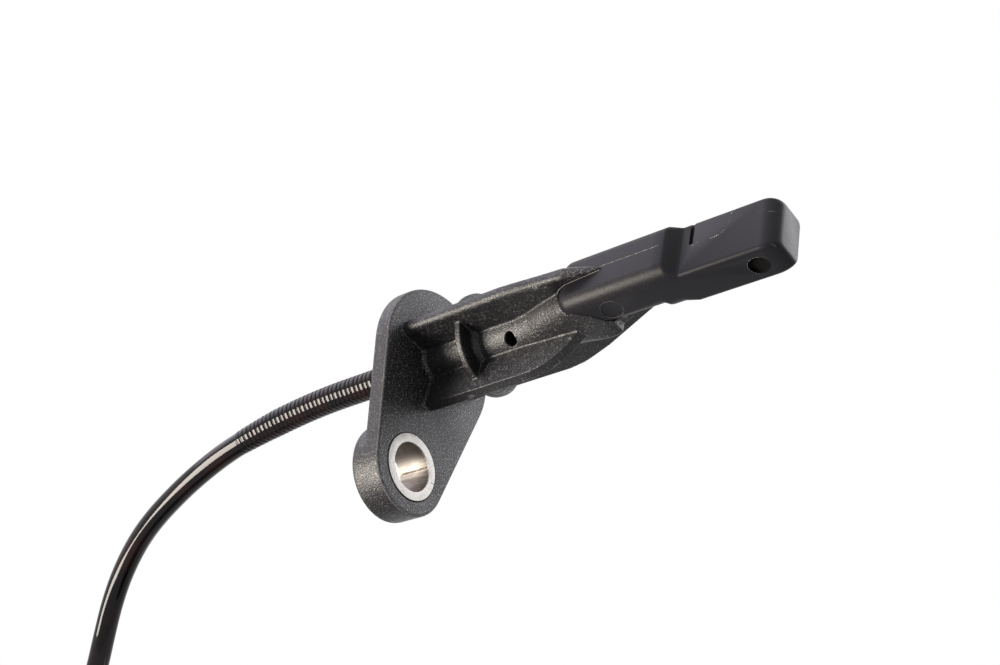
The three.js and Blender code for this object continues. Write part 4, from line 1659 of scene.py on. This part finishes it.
@dataclass
class Bushing:
    """The rolled metal strip in the ear, with its seam."""

    palette: Palette
    outer: float = 5.65
    inner: float = 4.2
    slit: float = 0.12
    drop: float = 22.1
    span: tuple[float, float] = (-6.25, 0.12)
    seam_start: float = 4.9
    edge_round: float = 0.3
    score_angle: float = 32.4
    score_section: Sequence[tuple[float, float]] = (
        (-0.16, -0.3), (0.16, -0.3), (0.1, 0.16), (-0.1, 0.16),
    )

    def score(self) -> bpy.types.Object:
        """The solid that cuts the score along the bore, short of its front rim.

        Returns:
            The solid.
        """
        turn = math.radians(self.score_angle)
        out = Vector((0.0, math.cos(turn), math.sin(turn)))
        side = Vector((0.0, -math.sin(turn), math.cos(turn)))
        middle = Vector((self.span[0] - 1.0, 0.0, -self.drop)) + out * self.inner
        corners = [middle + side * u + out * v for u, v in self.score_section]
        return Bench.prism("score", corners, Vector((self.span[1] - self.span[0] - 0.3, 0.0, 0.0)))

    def build(self) -> bpy.types.Object:
        """Bores the strip, cuts its seam and the score in its bore, and eases its edges.

        Returns:
            The bushing.
        """
        place, half = (0.0, -self.drop), self.slit / 2
        ring = Bench.rod("bushing_sleeve", Axis.X, self.span, place, (self.outer,) * 2, 128)
        bore = Bench.rod("bore", Axis.X, (-8.0, 2.0), place, (self.inner,) * 2, 128)
        seam = Bench.block(
            "seam", (-8.0, self.seam_start, -self.drop - half), (2.0, 7.0, -self.drop + half),
        )
        Bench.act(ring, Join.DIFFERENCE, [bore, seam, self.score()])
        Bench.ease(ring, self.edge_round, 4, 60)
        Bench.smooth(ring, 40)
        self.palette.dress(ring, "tinned_steel")
        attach(ring, "root")
        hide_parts("mounting_bushing")
        return ring


def dress_nodes(palette: Palette, nodes: dict[str, bpy.types.Object], record: dict) -> None:
    """Gives each CAD node that still shows the finish of its slot.

    Args:
        palette: The finishes.
        nodes: The CAD nodes by name.
        record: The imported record.
    """
    for entry in record["subparts"]:
        node = nodes[entry["node"]]
        for place in node.material_slots:
            place.material = palette.materials[entry["material_slot"]]


def main() -> None:
    """Builds the studio and each sub-assembly in order."""
    logging.basicConfig(level=logging.INFO, format="%(message)s")
    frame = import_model()
    studio = Studio()
    studio.build()
    palette = Palette()
    nodes = frame["nodes"]
    CableRun(palette).build(nodes)
    for assembly in (Overmould(palette), SensingBar(palette), Bushing(palette)):
        piece = assembly.build()
        LOG.info("%s: %d faces", piece.name, len(piece.data.polygons))
    dress_nodes(palette, nodes, frame["record"])


if __name__ == "__main__":
    main()
